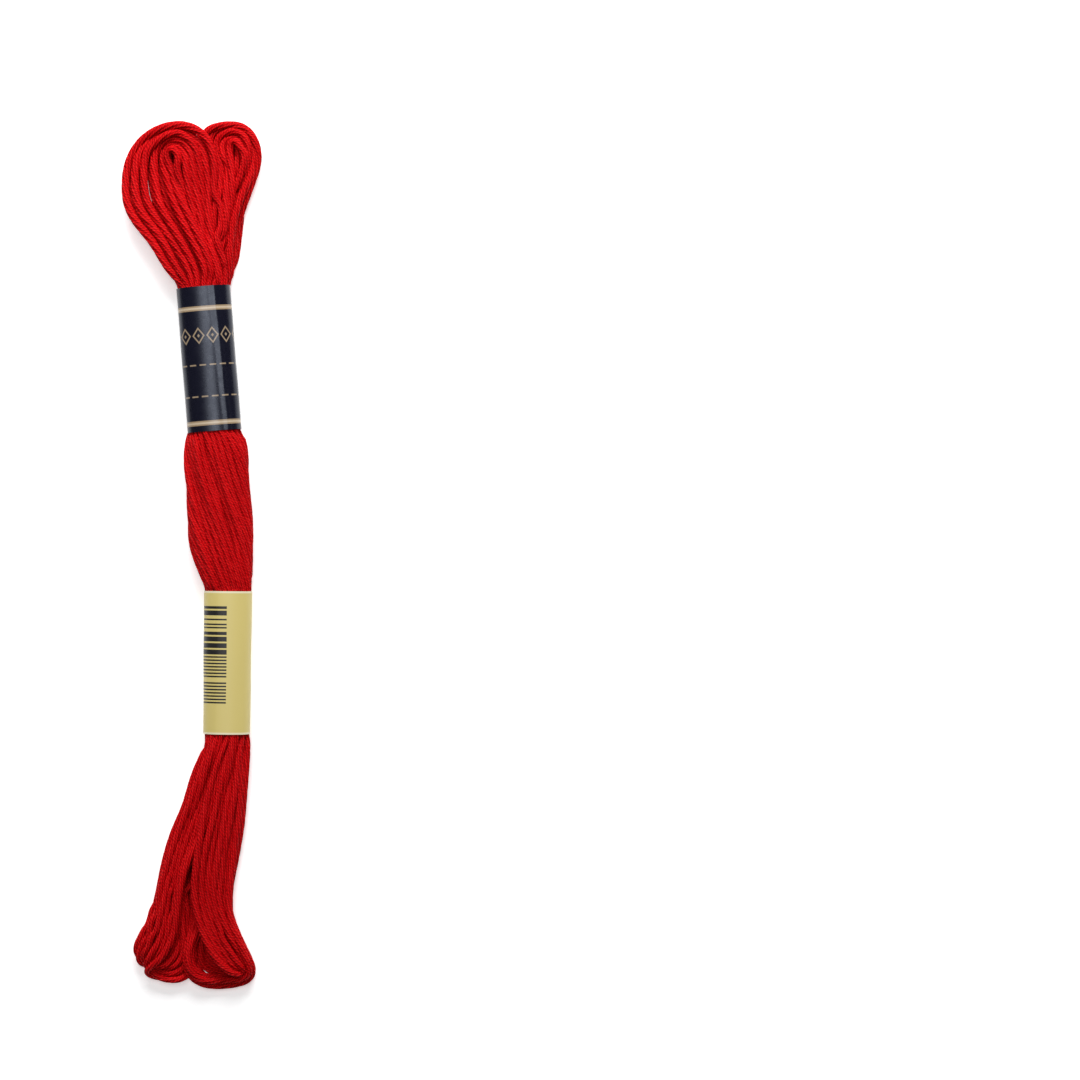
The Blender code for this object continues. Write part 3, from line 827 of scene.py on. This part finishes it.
def settle(path, rounds):
    """Push the floss apart, round by round; also gives back how thick it is and what overlaps."""
    place = path.copy()
    for step in range(rounds):
        radius = strand_sizes(place)
        if step % SEARCH_EVERY == 0:
            first, second = close_pairs(place, SEARCH_REACH)
        gap = place[second] - place[first]
        distance = np.linalg.norm(gap, axis=1)
        overlap = np.maximum(radius[first] + radius[second] - distance, 0.0)
        push = gap / np.maximum(distance, 1e-6)[:, None] * (overlap * 0.5)[:, None]
        move, weight = np.zeros_like(place), np.zeros(len(place))
        for ends, sign in ((first, -1.0), (second, 1.0)):
            np.add.at(move, ends, sign * push)
            np.add.at(weight, ends, overlap > 0)
        move /= np.maximum(weight, 1.0)[:, None] ** 0.5
        place = path + softened(place + move - path, rounds=2) * (1.0 - PULL_BACK)
        part_strands(place, radius)
        place[:, 2] = np.clip(place[:, 2], radius, TALLEST - radius)
        hold_in_bands(place, radius)
    return place, radius, overlap


settled, strand_radius, overlap = settle(wound, SETTLING_ROUNDS)
print("overlap left where strands cross, mm:", round(float(np.percentile(overlap, 99)), 3),
      "highest point", round(float(settled[:, 2].max()), 2))

# %% [markdown]
# ## How full each strand is
# Cotton fills the room it is given.  With space round it, a strand swells until it presses into
# its neighbours a little; between the paper and the other strands it stays thin.  One even
# thickness would leave slits of light in the loops and press the floss through the paper.

# %% Room inside the paper
OPEN_AIR = 9.0                 # mm, stands for no paper near
THINNEST = 0.25                # mm of radius that the paper leaves at least
PAST_THE_ENDS = 0.03           # share of a band's length over which it still counts


def room_in_bands(points):
    """How far each point is from the paper round it."""
    room = np.full(len(points), OPEN_AIR)
    for band in BANDS:
        share, middle, half = inside_band(band, points)
        out = on_its_oval((points[:, 0] - middle) / half,
                          (points[:, 2] - BAND_MIDDLE) / ROOM_HALF_HEIGHT)
        within = np.abs(share - 0.5) < 0.5 + PAST_THE_ENDS
        room[within] = np.maximum((1.0 - out[within]) * ROOM_HALF_HEIGHT, THINNEST)
    return room


print("points with paper round them:", int((room_in_bands(settled) < OPEN_AIR).sum()))

# %% Room between the strands
FREE_REACH = 1.8               # mm, nothing nearer than this leaves a strand free
FILLED = 0.565                 # share of the way to the nearest strand; past a half, they press
THIN, THICK = 0.92, 1.17       # times its settled radius, and no further
EVENED_OVER = 9                # points
UNEVENNESS = 0.03              # share of the radius
UNEVEN_LENGTH = 3              # points


def room_for_each(points, radius):
    """A radius that fills the room up to the nearest other strand, evened out along the strand."""
    first, second = close_pairs(points, FREE_REACH)
    distance = np.linalg.norm(points[second] - points[first], axis=1)
    nearest = np.full(len(points), FREE_REACH)
    np.minimum.at(nearest, first, distance)
    np.minimum.at(nearest, second, distance)
    room = np.clip(nearest * FILLED, radius * THIN, radius * THICK)
    room *= 1.0 + UNEVENNESS * wandering(len(room), UNEVEN_LENGTH)[:, 0]
    room = np.convolve(np.pad(room, EVENED_OVER // 2, mode="edge"),
                       np.ones(EVENED_OVER) / EVENED_OVER, mode="valid")
    return np.minimum(room, room_in_bands(points))


full_radius = room_for_each(settled, strand_radius)
settled[:, 2] = np.maximum(settled[:, 2], full_radius)     # full as it is, floss lies on the card
print("strand radius, mm:", rounded(np.percentile(full_radius, (1, 50, 99))))

# %% [markdown]
# ## Six-strand floss
# Six fine strands lie together with a slow twist, so the floss has six rounded ribs that climb
# round it.  Every run of floss is a curve that carries a profile with six lobes, and the tilt of
# its points turns the profile.  An inch of rope repeated with an array would be the usual way, but
# here the radius changes along the way, as in real floss that is squeezed under a band.

# %% The profile of the floss
LOBES = 6
LOBE_POINTS = ((-11.0, 0.98), (11.0, 0.98), (30.0, 0.60))    # degrees, share of the radius

profile_data = bpy.data.curves.new("floss_profile", "CURVE")
profile_data.dimensions = "2D"
outline = profile_data.splines.new("POLY")
outline.points.add(len(LOBE_POINTS) * LOBES - 1)
for k, point in enumerate(outline.points):
    offset, reach = LOBE_POINTS[k % len(LOBE_POINTS)]
    angle = math.radians(k // len(LOBE_POINTS) * 360.0 / LOBES + offset)
    point.co = (reach * MM * math.cos(angle), reach * MM * math.sin(angle), 0.0, 1.0)
outline.use_cyclic_u = True
profile = add_object("floss_profile", profile_data)
print("points in the profile:", len(outline.points))

# %% [markdown]
# ### Cut where nobody sees it
# One mesh of eight metres of floss would be too heavy for one piece.  The strand is cut under the
# paper, at two places along the skein, into a top, a waist and a bottom.

# %% Cut the wound floss inside the bands
FINE_SPACING = 0.40            # mm between the rings of points
CUTS = (36.0, -20.0)           # mm along the skein, hidden under the paper

fine = softened(evenly(settled, FINE_SPACING), rounds=4)
fine_radius = np.interp(np.linspace(0, 1, len(fine)), np.linspace(0, 1, len(full_radius)),
                        full_radius)
zone = np.where(fine[:, 1] > CUTS[0], 0, np.where(fine[:, 1] < CUTS[1], 2, 1))
runs = np.split(np.arange(len(fine)), np.nonzero(np.diff(zone))[0] + 1)
print("runs of floss:", len(runs))

# %% A curve that carries the profile
TWIST_PITCH = 15.0             # mm of floss for one full turn of the six strands


def floss_curve(name, its_runs):
    """Runs of floss as the lines of one curve."""
    data = bpy.data.curves.new(name, "CURVE")
    data.dimensions = "3D"
    data.twist_mode = "MINIMUM"
    data.bevel_mode = "OBJECT"
    data.bevel_object = profile
    for run in its_runs:
        line = data.splines.new("POLY")
        line.points.add(len(run) - 1)
        places = np.column_stack([fine[run] * MM, np.ones(len(run))])
        line.points.foreach_set("co", places.ravel())
        line.points.foreach_set("radius", fine_radius[run])
        line.points.foreach_set("tilt", -run * FINE_SPACING * 2 * math.pi / TWIST_PITCH)
        line.use_smooth = True
    return add_object(name, data)


print("twist pitch", TWIST_PITCH, "mm, about", round(360 * FINE_SPACING / TWIST_PITCH, 1),
      "degrees from ring to ring")

# %% [markdown]
# The curve gives its mesh a UV map that runs from 0 to 1 along every run.  The cotton's marks are
# measured in millimetres, so the map is stretched to the true length from the start of the strand.
# That also lets the marks go on without a jump where the strand was cut.

# %% Lengths in millimetres
PROFILE_POINTS = len(outline.points)


def lengths_in_mm(mesh, its_runs):
    """Make the first number of the UV map run in mm along the whole strand."""
    vertices = [len(run) * PROFILE_POINTS for run in its_runs]
    begin = np.repeat([run[0] * FINE_SPACING for run in its_runs], vertices)
    length = np.repeat([(len(run) - 1) * FINE_SPACING for run in its_runs], vertices)
    corners = np.zeros(len(mesh.loops), dtype=np.int32)
    mesh.loops.foreach_get("vertex_index", corners)
    uv = np.zeros(2 * len(mesh.loops))
    mesh.uv_layers[0].data.foreach_get("uv", uv)
    uv[0::2] = begin[corners] + uv[0::2] * length[corners]
    mesh.uv_layers[0].data.foreach_set("uv", uv)


print("points round the floss:", PROFILE_POINTS)

# %% [markdown]
# A curve turned into a mesh is open at its ends and can be inside out.  So the ends are closed and
# all faces are turned outwards, for tools that draw only the fronts.

# %% From curve to mesh
def select_only(made):
    bpy.ops.object.select_all(action="DESELECT")
    made.select_set(True)
    bpy.context.view_layer.objects.active = made


def face_outwards(made, close_ends):
    """Turn all faces of a mesh outwards, after closing its open ends where that is asked."""
    select_only(made)
    bpy.ops.object.mode_set(mode="EDIT")
    bpy.ops.mesh.select_all(action="SELECT")
    if close_ends:
        bpy.ops.mesh.fill_holes(sides=0)
    bpy.ops.mesh.normals_make_consistent(inside=False)
    bpy.ops.object.mode_set(mode="OBJECT")


def floss_piece(name, its_runs):
    """One mesh of several runs of floss; each run reaches one ring into the next zone."""
    its_runs = [np.arange(run[0], min(run[-1] + 2, len(fine))) for run in its_runs]
    select_only(floss_curve(name, its_runs))
    bpy.ops.object.convert(target="MESH")
    made = bpy.context.object
    lengths_in_mm(made.data, its_runs)
    face_outwards(made, close_ends=True)
    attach(made, "root")
    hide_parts("floss_hank")
    print(name, len(its_runs), "runs", len(made.data.polygons), "faces")
    return made


# %% Six pieces of floss
SPLITS = (
    # title of a zone, the axis along which it is split in two, titles of the halves
    ("floss_top", 0, ("left", "right")),
    ("floss_waist", 2, ("back", "front")),
    ("floss_bottom", 0, ("left", "right")),
)

floss_pieces = []
for number, (title, axis, sides) in enumerate(SPLITS):
    here = sorted((run for run in runs if zone[run[0]] == number),
                  key=lambda run: fine[run, axis].mean())
    middle = len(here) // 2
    for side, part in zip(sides, (here[:middle], here[middle:])):
        floss_pieces.append(floss_piece(f"{title}_{side}", part))
bpy.data.objects.remove(profile)
print("faces in all:", sum(len(made.data.polygons) for made in floss_pieces))

# %% [markdown]
# ## Numbers that flow through nodes
# A finish is a small tree of nodes, and most of its steps are plain sums.  Wiring every Math node
# by itself hides the sum.  So a number in a tree gets a small class of its own, and a sum written
# with it adds the nodes and links them: `a * 2 + b` makes a Multiply and an Add.

# %% A number in a node tree
def node(tree, kind, entries=None, **settings):
    """A new node with its settings, and its inputs fed."""
    made = tree.nodes.new(kind)
    for key, value in settings.items():
        setattr(made, key, value)
    feed(made, entries or {})
    return made


class Flow:
    """The number that comes out of a socket."""

    def __init__(self, socket):
        self.socket, self.tree = socket, socket.id_data

    def math(self, operation, *others):
        entries = dict(enumerate((self, *others)))
        return Flow(node(self.tree, "ShaderNodeMath", entries, operation=operation).outputs[0])

    __add__, __sub__ = partialmethod(math, "ADD"), partialmethod(math, "SUBTRACT")
    __mul__, __pow__ = partialmethod(math, "MULTIPLY"), partialmethod(math, "POWER")
    __abs__ = partialmethod(math, "ABSOLUTE")

    def __rsub__(self, other):
        return self * -1.0 + other


operations = bpy.types.ShaderNodeMath.bl_rna.properties["operation"].enum_items
print("a Math node knows", len(operations), "operations")

# %% [markdown]
# ## Mercerised cotton
# Each of the six strands is two plies twisted hard, which shows as short slanted marks.  They are
# too fine to model, so the finish draws them: the UV map runs in millimetres along the floss and
# once round it, and a ridge pattern on it raises the plies and paints shade into the valleys
# between them.
# A painted rope would be quicker, but it would stretch wherever the floss is squeezed.

# %% Where each of the six strands is
def shader_group(name, entries, results):
    """An empty node group with named numbers: its tree, what comes in, what gives back."""
    group = bpy.data.node_groups.new(name, "ShaderNodeTree")
    for direction, labels in (("INPUT", entries), ("OUTPUT", results)):
        for label in labels:
            group.interface.new_socket(label, in_out=direction, socket_type="NodeSocketFloat")
    arriving, leaving = node(group, "NodeGroupInput"), node(group, "NodeGroupOutput")
    return group, [Flow(arriving.outputs[label]) for label in entries], leaving


PLY_MARKS = ("Ridge", "Crown", "Slow", "Fibres")
ply_group, (along, around), ply_out = shader_group("ply_marks", ("Along", "Around"), PLY_MARKS)
strand_place = around * LOBES + 1.0 / len(LOBE_POINTS)      # a whole number in each valley
strand_number = strand_place.math("FLOOR")
strand_share = strand_place - strand_number
print(ply_group.name, "gives", PLY_MARKS, "for", LOBES, "strands")

# %% Ridges of the two plies
PLY_LENGTH = 0.66              # mm of floss between two ply marks
PLY_SLANT = 1.15               # marks that one strand's width climbs past
OUT_OF_STEP = 0.37             # marks from one strand to the next
DRIFT = 3.0                    # marks that the slow noise shifts them by


def flat_noise(across, up, detail):
    """Smooth noise between 0 and 1 on a flat place given by two numbers."""
    place = node(across.tree, "ShaderNodeCombineXYZ", {0: across, 1: up})
    noise = node(across.tree, "ShaderNodeTexNoise",
                 {"Vector": place.outputs[0], "Scale": 1.0, "Detail": detail},
                 noise_dimensions="2D")
    return Flow(noise.outputs[0])


slow = flat_noise(along * 0.30, strand_number * 0.9, detail=3.0)
phase = (along * (1.0 / PLY_LENGTH) + strand_share * -PLY_SLANT + strand_number * OUT_OF_STEP
         + slow * DRIFT)
ridge = abs((phase * math.pi).math("SINE"))
print("ply marks on ten millimetres:", round(10.0 / PLY_LENGTH))

# %% Crowns and fibres
FIBRES = dict(along=1.8, slant=-2.6, around=62.0)     # spots per mm, per strand, round the floss

# The crown is 1 along each of the six strands and 0 in the valleys between them; it only sets where
# painted shade falls.
crown = 1.0 - abs(strand_share * 2.0 - 1.0) ** 3.0
fibres = flat_noise(along * FIBRES["along"] + strand_share * FIBRES["slant"],
                    around * FIBRES["around"], detail=4.0)
feed(ply_out, dict(zip(PLY_MARKS, (ridge, crown, slow, fibres))))
print("nodes in the group:", len(ply_group.nodes))

# %% [markdown]
# The same marks do two jobs.  As height they catch the light; as colour they paint shade into the
# valleys and a highlight onto the crests, the way light falls on a twisted yarn.  Cotton is matt,
# and
# almost no sheen is left on it: a stronger one would turn the red pink.

# %% The cotton's relief
RELIEF = 0.10                  # mm from a valley to a crest
RAISES = dict(ridge=0.75, fibres=0.6)     # shares of the relief


def uv_places(tree):
    """The two numbers of a place on the UV map."""
    uv = node(tree, "ShaderNodeUVMap", uv_map="UVMap").outputs[0]
    split = node(tree, "ShaderNodeSeparateXYZ", {0: uv})
    return Flow(split.outputs[0]), Flow(split.outputs[1])


cotton, shader = new_finish("red_cotton")
along, around = uv_places(cotton.node_tree)
marks = node(cotton.node_tree, "ShaderNodeGroup", {"Along": along, "Around": around},
             node_tree=ply_group)
ridge, crown, slow, fibres = (Flow(marks.outputs[label]) for label in PLY_MARKS)
relief = node(cotton.node_tree, "ShaderNodeBump",
              {"Height": ridge * RAISES["ridge"] + fibres * RAISES["fibres"],
               "Strength": 1.0, "Distance": RELIEF * MM})
feed(shader, {"Normal": relief.outputs[0]})
print("relief", RELIEF, "mm")

# %% The cotton's colour, with painted shade and highlights
LIGHTENS = dict(ridge=0.50, slow=0.25, fibres=0.35)     # what each adds to the shade at most
# The deepest red is painted shade in the valleys, and the brightest is a painted highlight on the
# crests.
REDS_WITH_PAINTED_LIGHT = (
    # shade at which each stands, colour
    (0.18, (0.17, 0.0002, 0.0008, 1.0)),     # in the valleys
    (0.66, (0.62, 0.0012, 0.0040, 1.0)),     # on the plies
    (0.96, (0.95, 0.022, 0.020, 1.0)),       # where the light catches the crests
)

# Painted shade and highlight: the ply ridges on the crowns of the six strands lighten the red, so
# the valleys between plies and strands stay dark; the slow noise and the fibres lighten it at
# random.
shade = (ridge ** 0.7 * crown * LIGHTENS["ridge"] + slow * LIGHTENS["slow"]
         + fibres * LIGHTENS["fibres"])
red_with_painted_shade = node(cotton.node_tree, "ShaderNodeValToRGB", {0: shade})
stops = red_with_painted_shade.color_ramp.elements
stops.new(0.5)
for stop, (place, colour) in zip(stops, REDS_WITH_PAINTED_LIGHT):
    stop.position, stop.color = place, colour
feed(shader, {"Base Color": red_with_painted_shade.outputs[0], "Roughness": 0.55, "Specular IOR Level": 0.06})
for made in floss_pieces:
    wear(made, cotton)

# %% [markdown]
# ## Paper bands
# Each band is a strip of coated paper, wrapped round the floss and glued over itself underneath.
# A thick tube would do from far off.  Here a flat strip is rolled up instead, because the lap, the
# two cut ends and the soft crease on the front are what tell paper from plastic.

# %% The oval with its crease
LAP = 3.2                      # mm that the glued end lies over the other
LAP_AT = -104.0                # degrees, where the strip begins, on the underside
# the crease in degrees at the lower and the upper end, its lift as a share, its spread in radians
UPPER_BAND.update(crease=(57.0, 66.0), crease_lift=0.060, spread=0.22)
LOWER_BAND.update(crease=(112.0, 108.0), crease_lift=0.020, spread=0.35)


def oval_point(angle, half_width, band, share=0.5):
    """A point of the band's oval, across and up, with its crease."""
    u = half_width * fuller(math.cos(angle), 2.0 / BAND_FULLNESS)
    v = BAND_HALF_HEIGHT * fuller(math.sin(angle), 2.0 / BAND_FULLNESS)
    lower_end, upper_end = band["crease"]
    crease = math.radians(lower_end + (upper_end - lower_end) * share)
    away = (angle - crease + math.pi) % (2 * math.pi) - math.pi
    lift = 1.0 + band["crease_lift"] * max(1.0 - abs(away) / band["spread"], 0.0) ** 1.3
    return u * lift, v * lift


def round_the_oval(band):
    """Angles round a band from the start of its strip on, and the way walked to each."""
    angles = np.radians(np.linspace(LAP_AT, LAP_AT + 450.0, 2000))
    half_width = (band["top_half"] + band["bottom_half"]) / 2
    loop = np.array([oval_point(angle, half_width, band) for angle in angles])
    steps = np.linalg.norm(np.diff(loop, axis=0), axis=1)
    return angles, np.concatenate([[0], np.cumsum(steps)])


def way_to(degrees, angles, walk):
    """How far round the strip an angle is, in mm."""
    return float(np.interp(math.radians(degrees), angles, walk))


once = way_to(LAP_AT + 360.0, *round_the_oval(UPPER_BAND))
print("once round the upper band, mm:", round(once, 1))

# %% [markdown]
# A point of the strip is known by how far round and how far along it lies.  The start of the strip
# goes under the lap, so it lies one thickness of paper deeper, and the bottom of the oval is
# pressed flat by the card.

# %% Where a point of the strip goes
LAP_DEPTH = 1.15               # thicknesses of paper that the start lies deeper
LAP_CLIMB = 1.6                # mm past the lap over which the strip comes up again
OFF_THE_CARD = 0.02            # mm
WAVE = 0.035                   # mm that the paper waves sideways


def paper_place(band, angle, way, share):
    """The place in mm of a point of the strip: `way` mm round it and at a share of its length."""
    top, bottom = np.array(band["top"]), np.array(band["bottom"])
    length = float(np.linalg.norm(top - bottom))
    up = (top - bottom) / length
    across = np.array([up[1], -up[0]])
    u, v = oval_point(angle, band_half_width(band, share), band, share)
    under_lap = 1.0 - min(max((way - LAP) / LAP_CLIMB, 0.0), 1.0)
    inset = PAPER / 2 + LAP_DEPTH * PAPER * under_lap
    kept = 1 - inset / math.hypot(u, v)
    z = max(v * kept + BAND_MIDDLE, inset + OFF_THE_CARD)
    wave = WAVE * math.sin(share * 9.0 + angle * 2.0) * math.sin(math.pi * share)
    x, y = bottom + up * share * length + across * (u * kept + wave)
    return Vector((x, y, z)), share * length


print("front of the upper band at half its length, mm:",
      rounded(paper_place(UPPER_BAND, math.pi / 2, 15.0, 0.5)[0]))

# %% Roll the strip
def rolled_strip(name, band, around=150, along=40):
    """A flat grid, rolled round the oval, with its UV map in mm."""
    bpy.ops.object.select_all(action="DESELECT")
    bpy.ops.mesh.primitive_grid_add(x_subdivisions=around, y_subdivisions=along, size=1.0)
    made = bpy.context.object
    made.name = made.data.name = name
    angles, walk = round_the_oval(band)
    strip = way_to(LAP_AT + 360.0, angles, walk) + LAP
    front = way_to(90.0, angles, walk)
    marks = []
    for vert in made.data.vertices:
        way, share = (vert.co.x + 0.5) * strip, vert.co.y + 0.5
        place, height = paper_place(band, float(np.interp(way, walk, angles)), way, share)
        vert.co = place * MM
        marks.append((front - way, height))
    uv = made.data.uv_layers[0]
    for corner in made.data.loops:
        uv.data[corner.index].uv = marks[corner.vertex_index]
    print(name, "is a strip of", round(strip, 1), "x", round(height, 1), "mm")
    return made


# %% Give the paper its thickness
SMOOTH_UP_TO = 40.0            # degrees between faces; the cut edges stay sharp


def paper_band(name, band, solid):
    made = rolled_strip(name, band)
    face_outwards(made, close_ends=False)
    wall = made.modifiers.new("paper", "SOLIDIFY")
    wall.thickness = PAPER * MM
    wall.offset = 0.0
    wall.use_even_offset = True
    bpy.ops.object.modifier_apply(modifier="paper")
    bpy.ops.object.shade_smooth_by_angle(angle=math.radians(SMOOTH_UP_TO))
    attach(made, "root")
    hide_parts(solid)
    print(name, len(made.data.polygons), "faces")
    return made


upper_paper = paper_band("upper_paper_band", UPPER_BAND, "upper_band")
lower_paper = paper_band("lower_paper_band", LOWER_BAND, "lower_band")

# %% [markdown]
# ## Printed paper
# The print follows the paper, so it is drawn on the strip's own UV map, which is in millimetres:
# the first number runs round the band from the middle of its front, the second along it.  Each
# printed line is the same small effect, kept as a node group that gives back a mask.

# %% A printed line as a group
line_group, (place, middle, half_width, softness), line_out = shader_group(
    "printed_line", ("Place", "Middle", "Half Width", "Softness"), ("Mask",))
edge = node(line_group, "ShaderNodeMapRange",
            {"Value": abs(place - middle), "To Min": 1.0, "To Max": 0.0,
             "From Min": half_width - softness, "From Max": half_width + softness},
            interpolation_type="SMOOTHSTEP")
feed(line_out, {"Mask": edge.outputs[0]})
print("nodes in the group:", len(line_group.nodes))

# %% An ornament printed round the band
LOZENGE = dict(step=2.6, half=1.35, steepness=1.35, line=0.20, dot=0.34, softness=0.07)    # mm
STITCH = dict(step=1.9, half=0.62, line=0.13, softness=0.05)


def printed_line(place, middle, half_width, softness=0.03):
    """A mask that is 1 near a place on the paper."""
    made = node(place.tree, "ShaderNodeGroup",
                {"Place": place, "Middle": middle, "Half Width": half_width,
                 "Softness": softness}, node_tree=line_group)
    return Flow(made.outputs["Mask"])


def again_and_again(place, step):
    """Places from -step/2 to step/2, repeated."""
    return place.math("FLOORED_MODULO", step) - step / 2


def lozenges(around, along, middle):
    """Outlined lozenges with a dot in each, in a row round the band."""
    across = abs(again_and_again(around, LOZENGE["step"]))
    reach = across * LOZENGE["steepness"] + abs(along - middle)
    line = printed_line(reach, LOZENGE["half"], LOZENGE["line"], LOZENGE["softness"])
    return line.math("MAXIMUM", printed_line(reach, 0.0, LOZENGE["dot"], LOZENGE["softness"]))


def running_stitches(around, along, middle):
    """A dashed line round the band."""
    place = again_and_again(around, STITCH["step"])
    return (printed_line(place, 0.0, STITCH["half"], STITCH["softness"])
            * printed_line(along, middle, STITCH["line"], STITCH["softness"]))


print("lozenges round the band:", int(once / LOZENGE["step"]),
      "stitches:", int(once / STITCH["step"]))

# %% [markdown]
# ### The paper itself
# Coated paper is smooth, but never flat: its fibres make it swell a little here and there, and the
# light on it wavers.  A broad, very low noise does both.  It is a node group too, because each band
# takes it with values of its own: the black coating is smoother than the yellow.

# %% The paper's grain as a group
GRAIN_SCALE = 0.8              # swells on a millimetre

grain_group, (around, along, smoothness, unevenness), grain_out = shader_group(
    "paper_grain", ("Around", "Along", "Smoothness", "Unevenness"), ("Height", "Roughness"))
grain = flat_noise(around * GRAIN_SCALE, along * GRAIN_SCALE, detail=5.0)
feed(grain_out, {"Height": grain, "Roughness": grain * unevenness + smoothness})
print("nodes in the group:", len(grain_group.nodes))

# %% Coated paper
SWELL = {"Strength": 0.12, "Distance": 0.04 * MM}


def coated(shader, around, along, colour, smoothness, unevenness):
    """Give a shader a printed colour and the paper's grain."""
    paper = node(around.tree, "ShaderNodeGroup",
                 {"Around": around, "Along": along, "Smoothness": smoothness,
                  "Unevenness": unevenness}, node_tree=grain_group)
    swell = node(around.tree, "ShaderNodeBump", {"Height": paper.outputs["Height"], **SWELL})
    feed(shader, {"Base Color": colour, "Normal": swell.outputs[0],
                  "Roughness": paper.outputs["Roughness"]})
    print("roughness from", smoothness, "to", round(smoothness + unevenness, 2))


def colour_over(under, over, mask):
    """One colour laid over another where a mask is 1."""
    return node(mask.tree, "ShaderNodeMix", {0: mask, 6: under, 7: over},
                data_type="RGBA").outputs[2]


print("the paper swells by up to", round(SWELL["Distance"] / MM, 2), "mm")

# %% [markdown]
# ### Gold on black
# A band like this carries its maker's print between two gold lines.  Here the lines stay and the
# print is a plain ornament: one row of lozenges and two rows of running stitch.  All of them are
# distances in millimetres on the paper, repeated round the band, so they stay sharp at any size
# and bend with the paper.

# %% The black band
BLACK_INK = (0.004, 0.004, 0.011, 1.0)
GOLD_INK = (0.32, 0.23, 0.14, 1.0)
# The paler gold is a painted gleam along the middle of each gold stripe.
PAINTED_GLEAM_GOLD = (0.52, 0.42, 0.30, 1.0)
DULL_GOLD = (0.30, 0.225, 0.145, 1.0)
STRIPES = (22.6, 1.5)          # mm along the band, the middles of its two stripes
STRIPE_HALF, GLEAM_HALF = 0.44, 0.16     # mm, a stripe and the paler line in it
LOZENGE_ROW = 17.6             # mm along the band
STITCH_ROWS = (12.2, 6.4)      # mm along the band

black, shader = new_finish("black_coated_paper")
around, along = uv_places(black.node_tree)
colour = BLACK_INK
for middle in STRIPES:
    colour = colour_over(colour, GOLD_INK, printed_line(along, middle, STRIPE_HALF))
    # Each gold stripe gets a painted gleam down its middle.
    colour = colour_over(colour, PAINTED_GLEAM_GOLD, printed_line(along, middle, GLEAM_HALF, 0.08))
colour = colour_over(colour, DULL_GOLD, lozenges(around, along, LOZENGE_ROW))
for middle in STITCH_ROWS:
    colour = colour_over(colour, DULL_GOLD, running_stitches(around, along, middle))
coated(shader, around, along, colour, smoothness=0.22, unevenness=0.12)
feed(shader, {"Specular IOR Level": 0.45, "Specular Tint": (0.78, 0.85, 1.0, 1.0)})
wear(upper_paper, black)

# %% [markdown]
# ### Black bars on yellow
# The lower band is yellow with a pale cut edge at each end, and carries a block of bars.  The bars
# here say nothing: the paper is divided into thin steps, and a fixed chance number for each step
# decides whether it is inked.

# %% Bars
BAR_STEP = 0.30                # mm, the narrowest bar
BAR_SPACE = (5.6, 23.6)        # mm along the lower band
BAR_MIDDLE, BAR_HALF = -3.9, 4.0     # mm round it
LEAST_CHANCE = (0.16, 0.56)    # chance to beat on an odd step, and how much more on an even one


def bars(around, along):
    """A mask of bars of chance width across a part of the band."""
    step = along.math("DIVIDE", BAR_STEP).math("FLOOR")
    chance = Flow(node(along.tree, "ShaderNodeTexWhiteNoise", {"W": step},
                       noise_dimensions="1D").outputs[0])
    even = 1.0 - step.math("MODULO", 2.0)
    inked = chance.math("GREATER_THAN", even * LEAST_CHANCE[1] + LEAST_CHANCE[0])
    block = printed_line(along, sum(BAR_SPACE) / 2, (BAR_SPACE[1] - BAR_SPACE[0]) / 2, 0.01)
    return inked * block * printed_line(around, BAR_MIDDLE, BAR_HALF)


print("steps in the block of bars:", round((BAR_SPACE[1] - BAR_SPACE[0]) / BAR_STEP))

# %% The yellow band
YELLOW_INK = (0.65, 0.535, 0.185, 1.0)
CREAM = (0.80, 0.72, 0.50, 1.0)
BAR_INK = (0.014, 0.013, 0.012, 1.0)
CUT_EDGES = (0.0, 26.37)       # mm along the lower band
PALE_HALF = 0.35               # mm that each of them is pale

yellow, shader = new_finish("yellow_coated_paper")
around, along = uv_places(yellow.node_tree)
colour = colour_over(YELLOW_INK, BAR_INK, bars(around, along))
for middle in CUT_EDGES:
    colour = colour_over(colour, CREAM, printed_line(along, middle, PALE_HALF, 0.05))
coated(shader, around, along, colour, smoothness=0.34, unevenness=0.16)
wear(lower_paper, yellow)
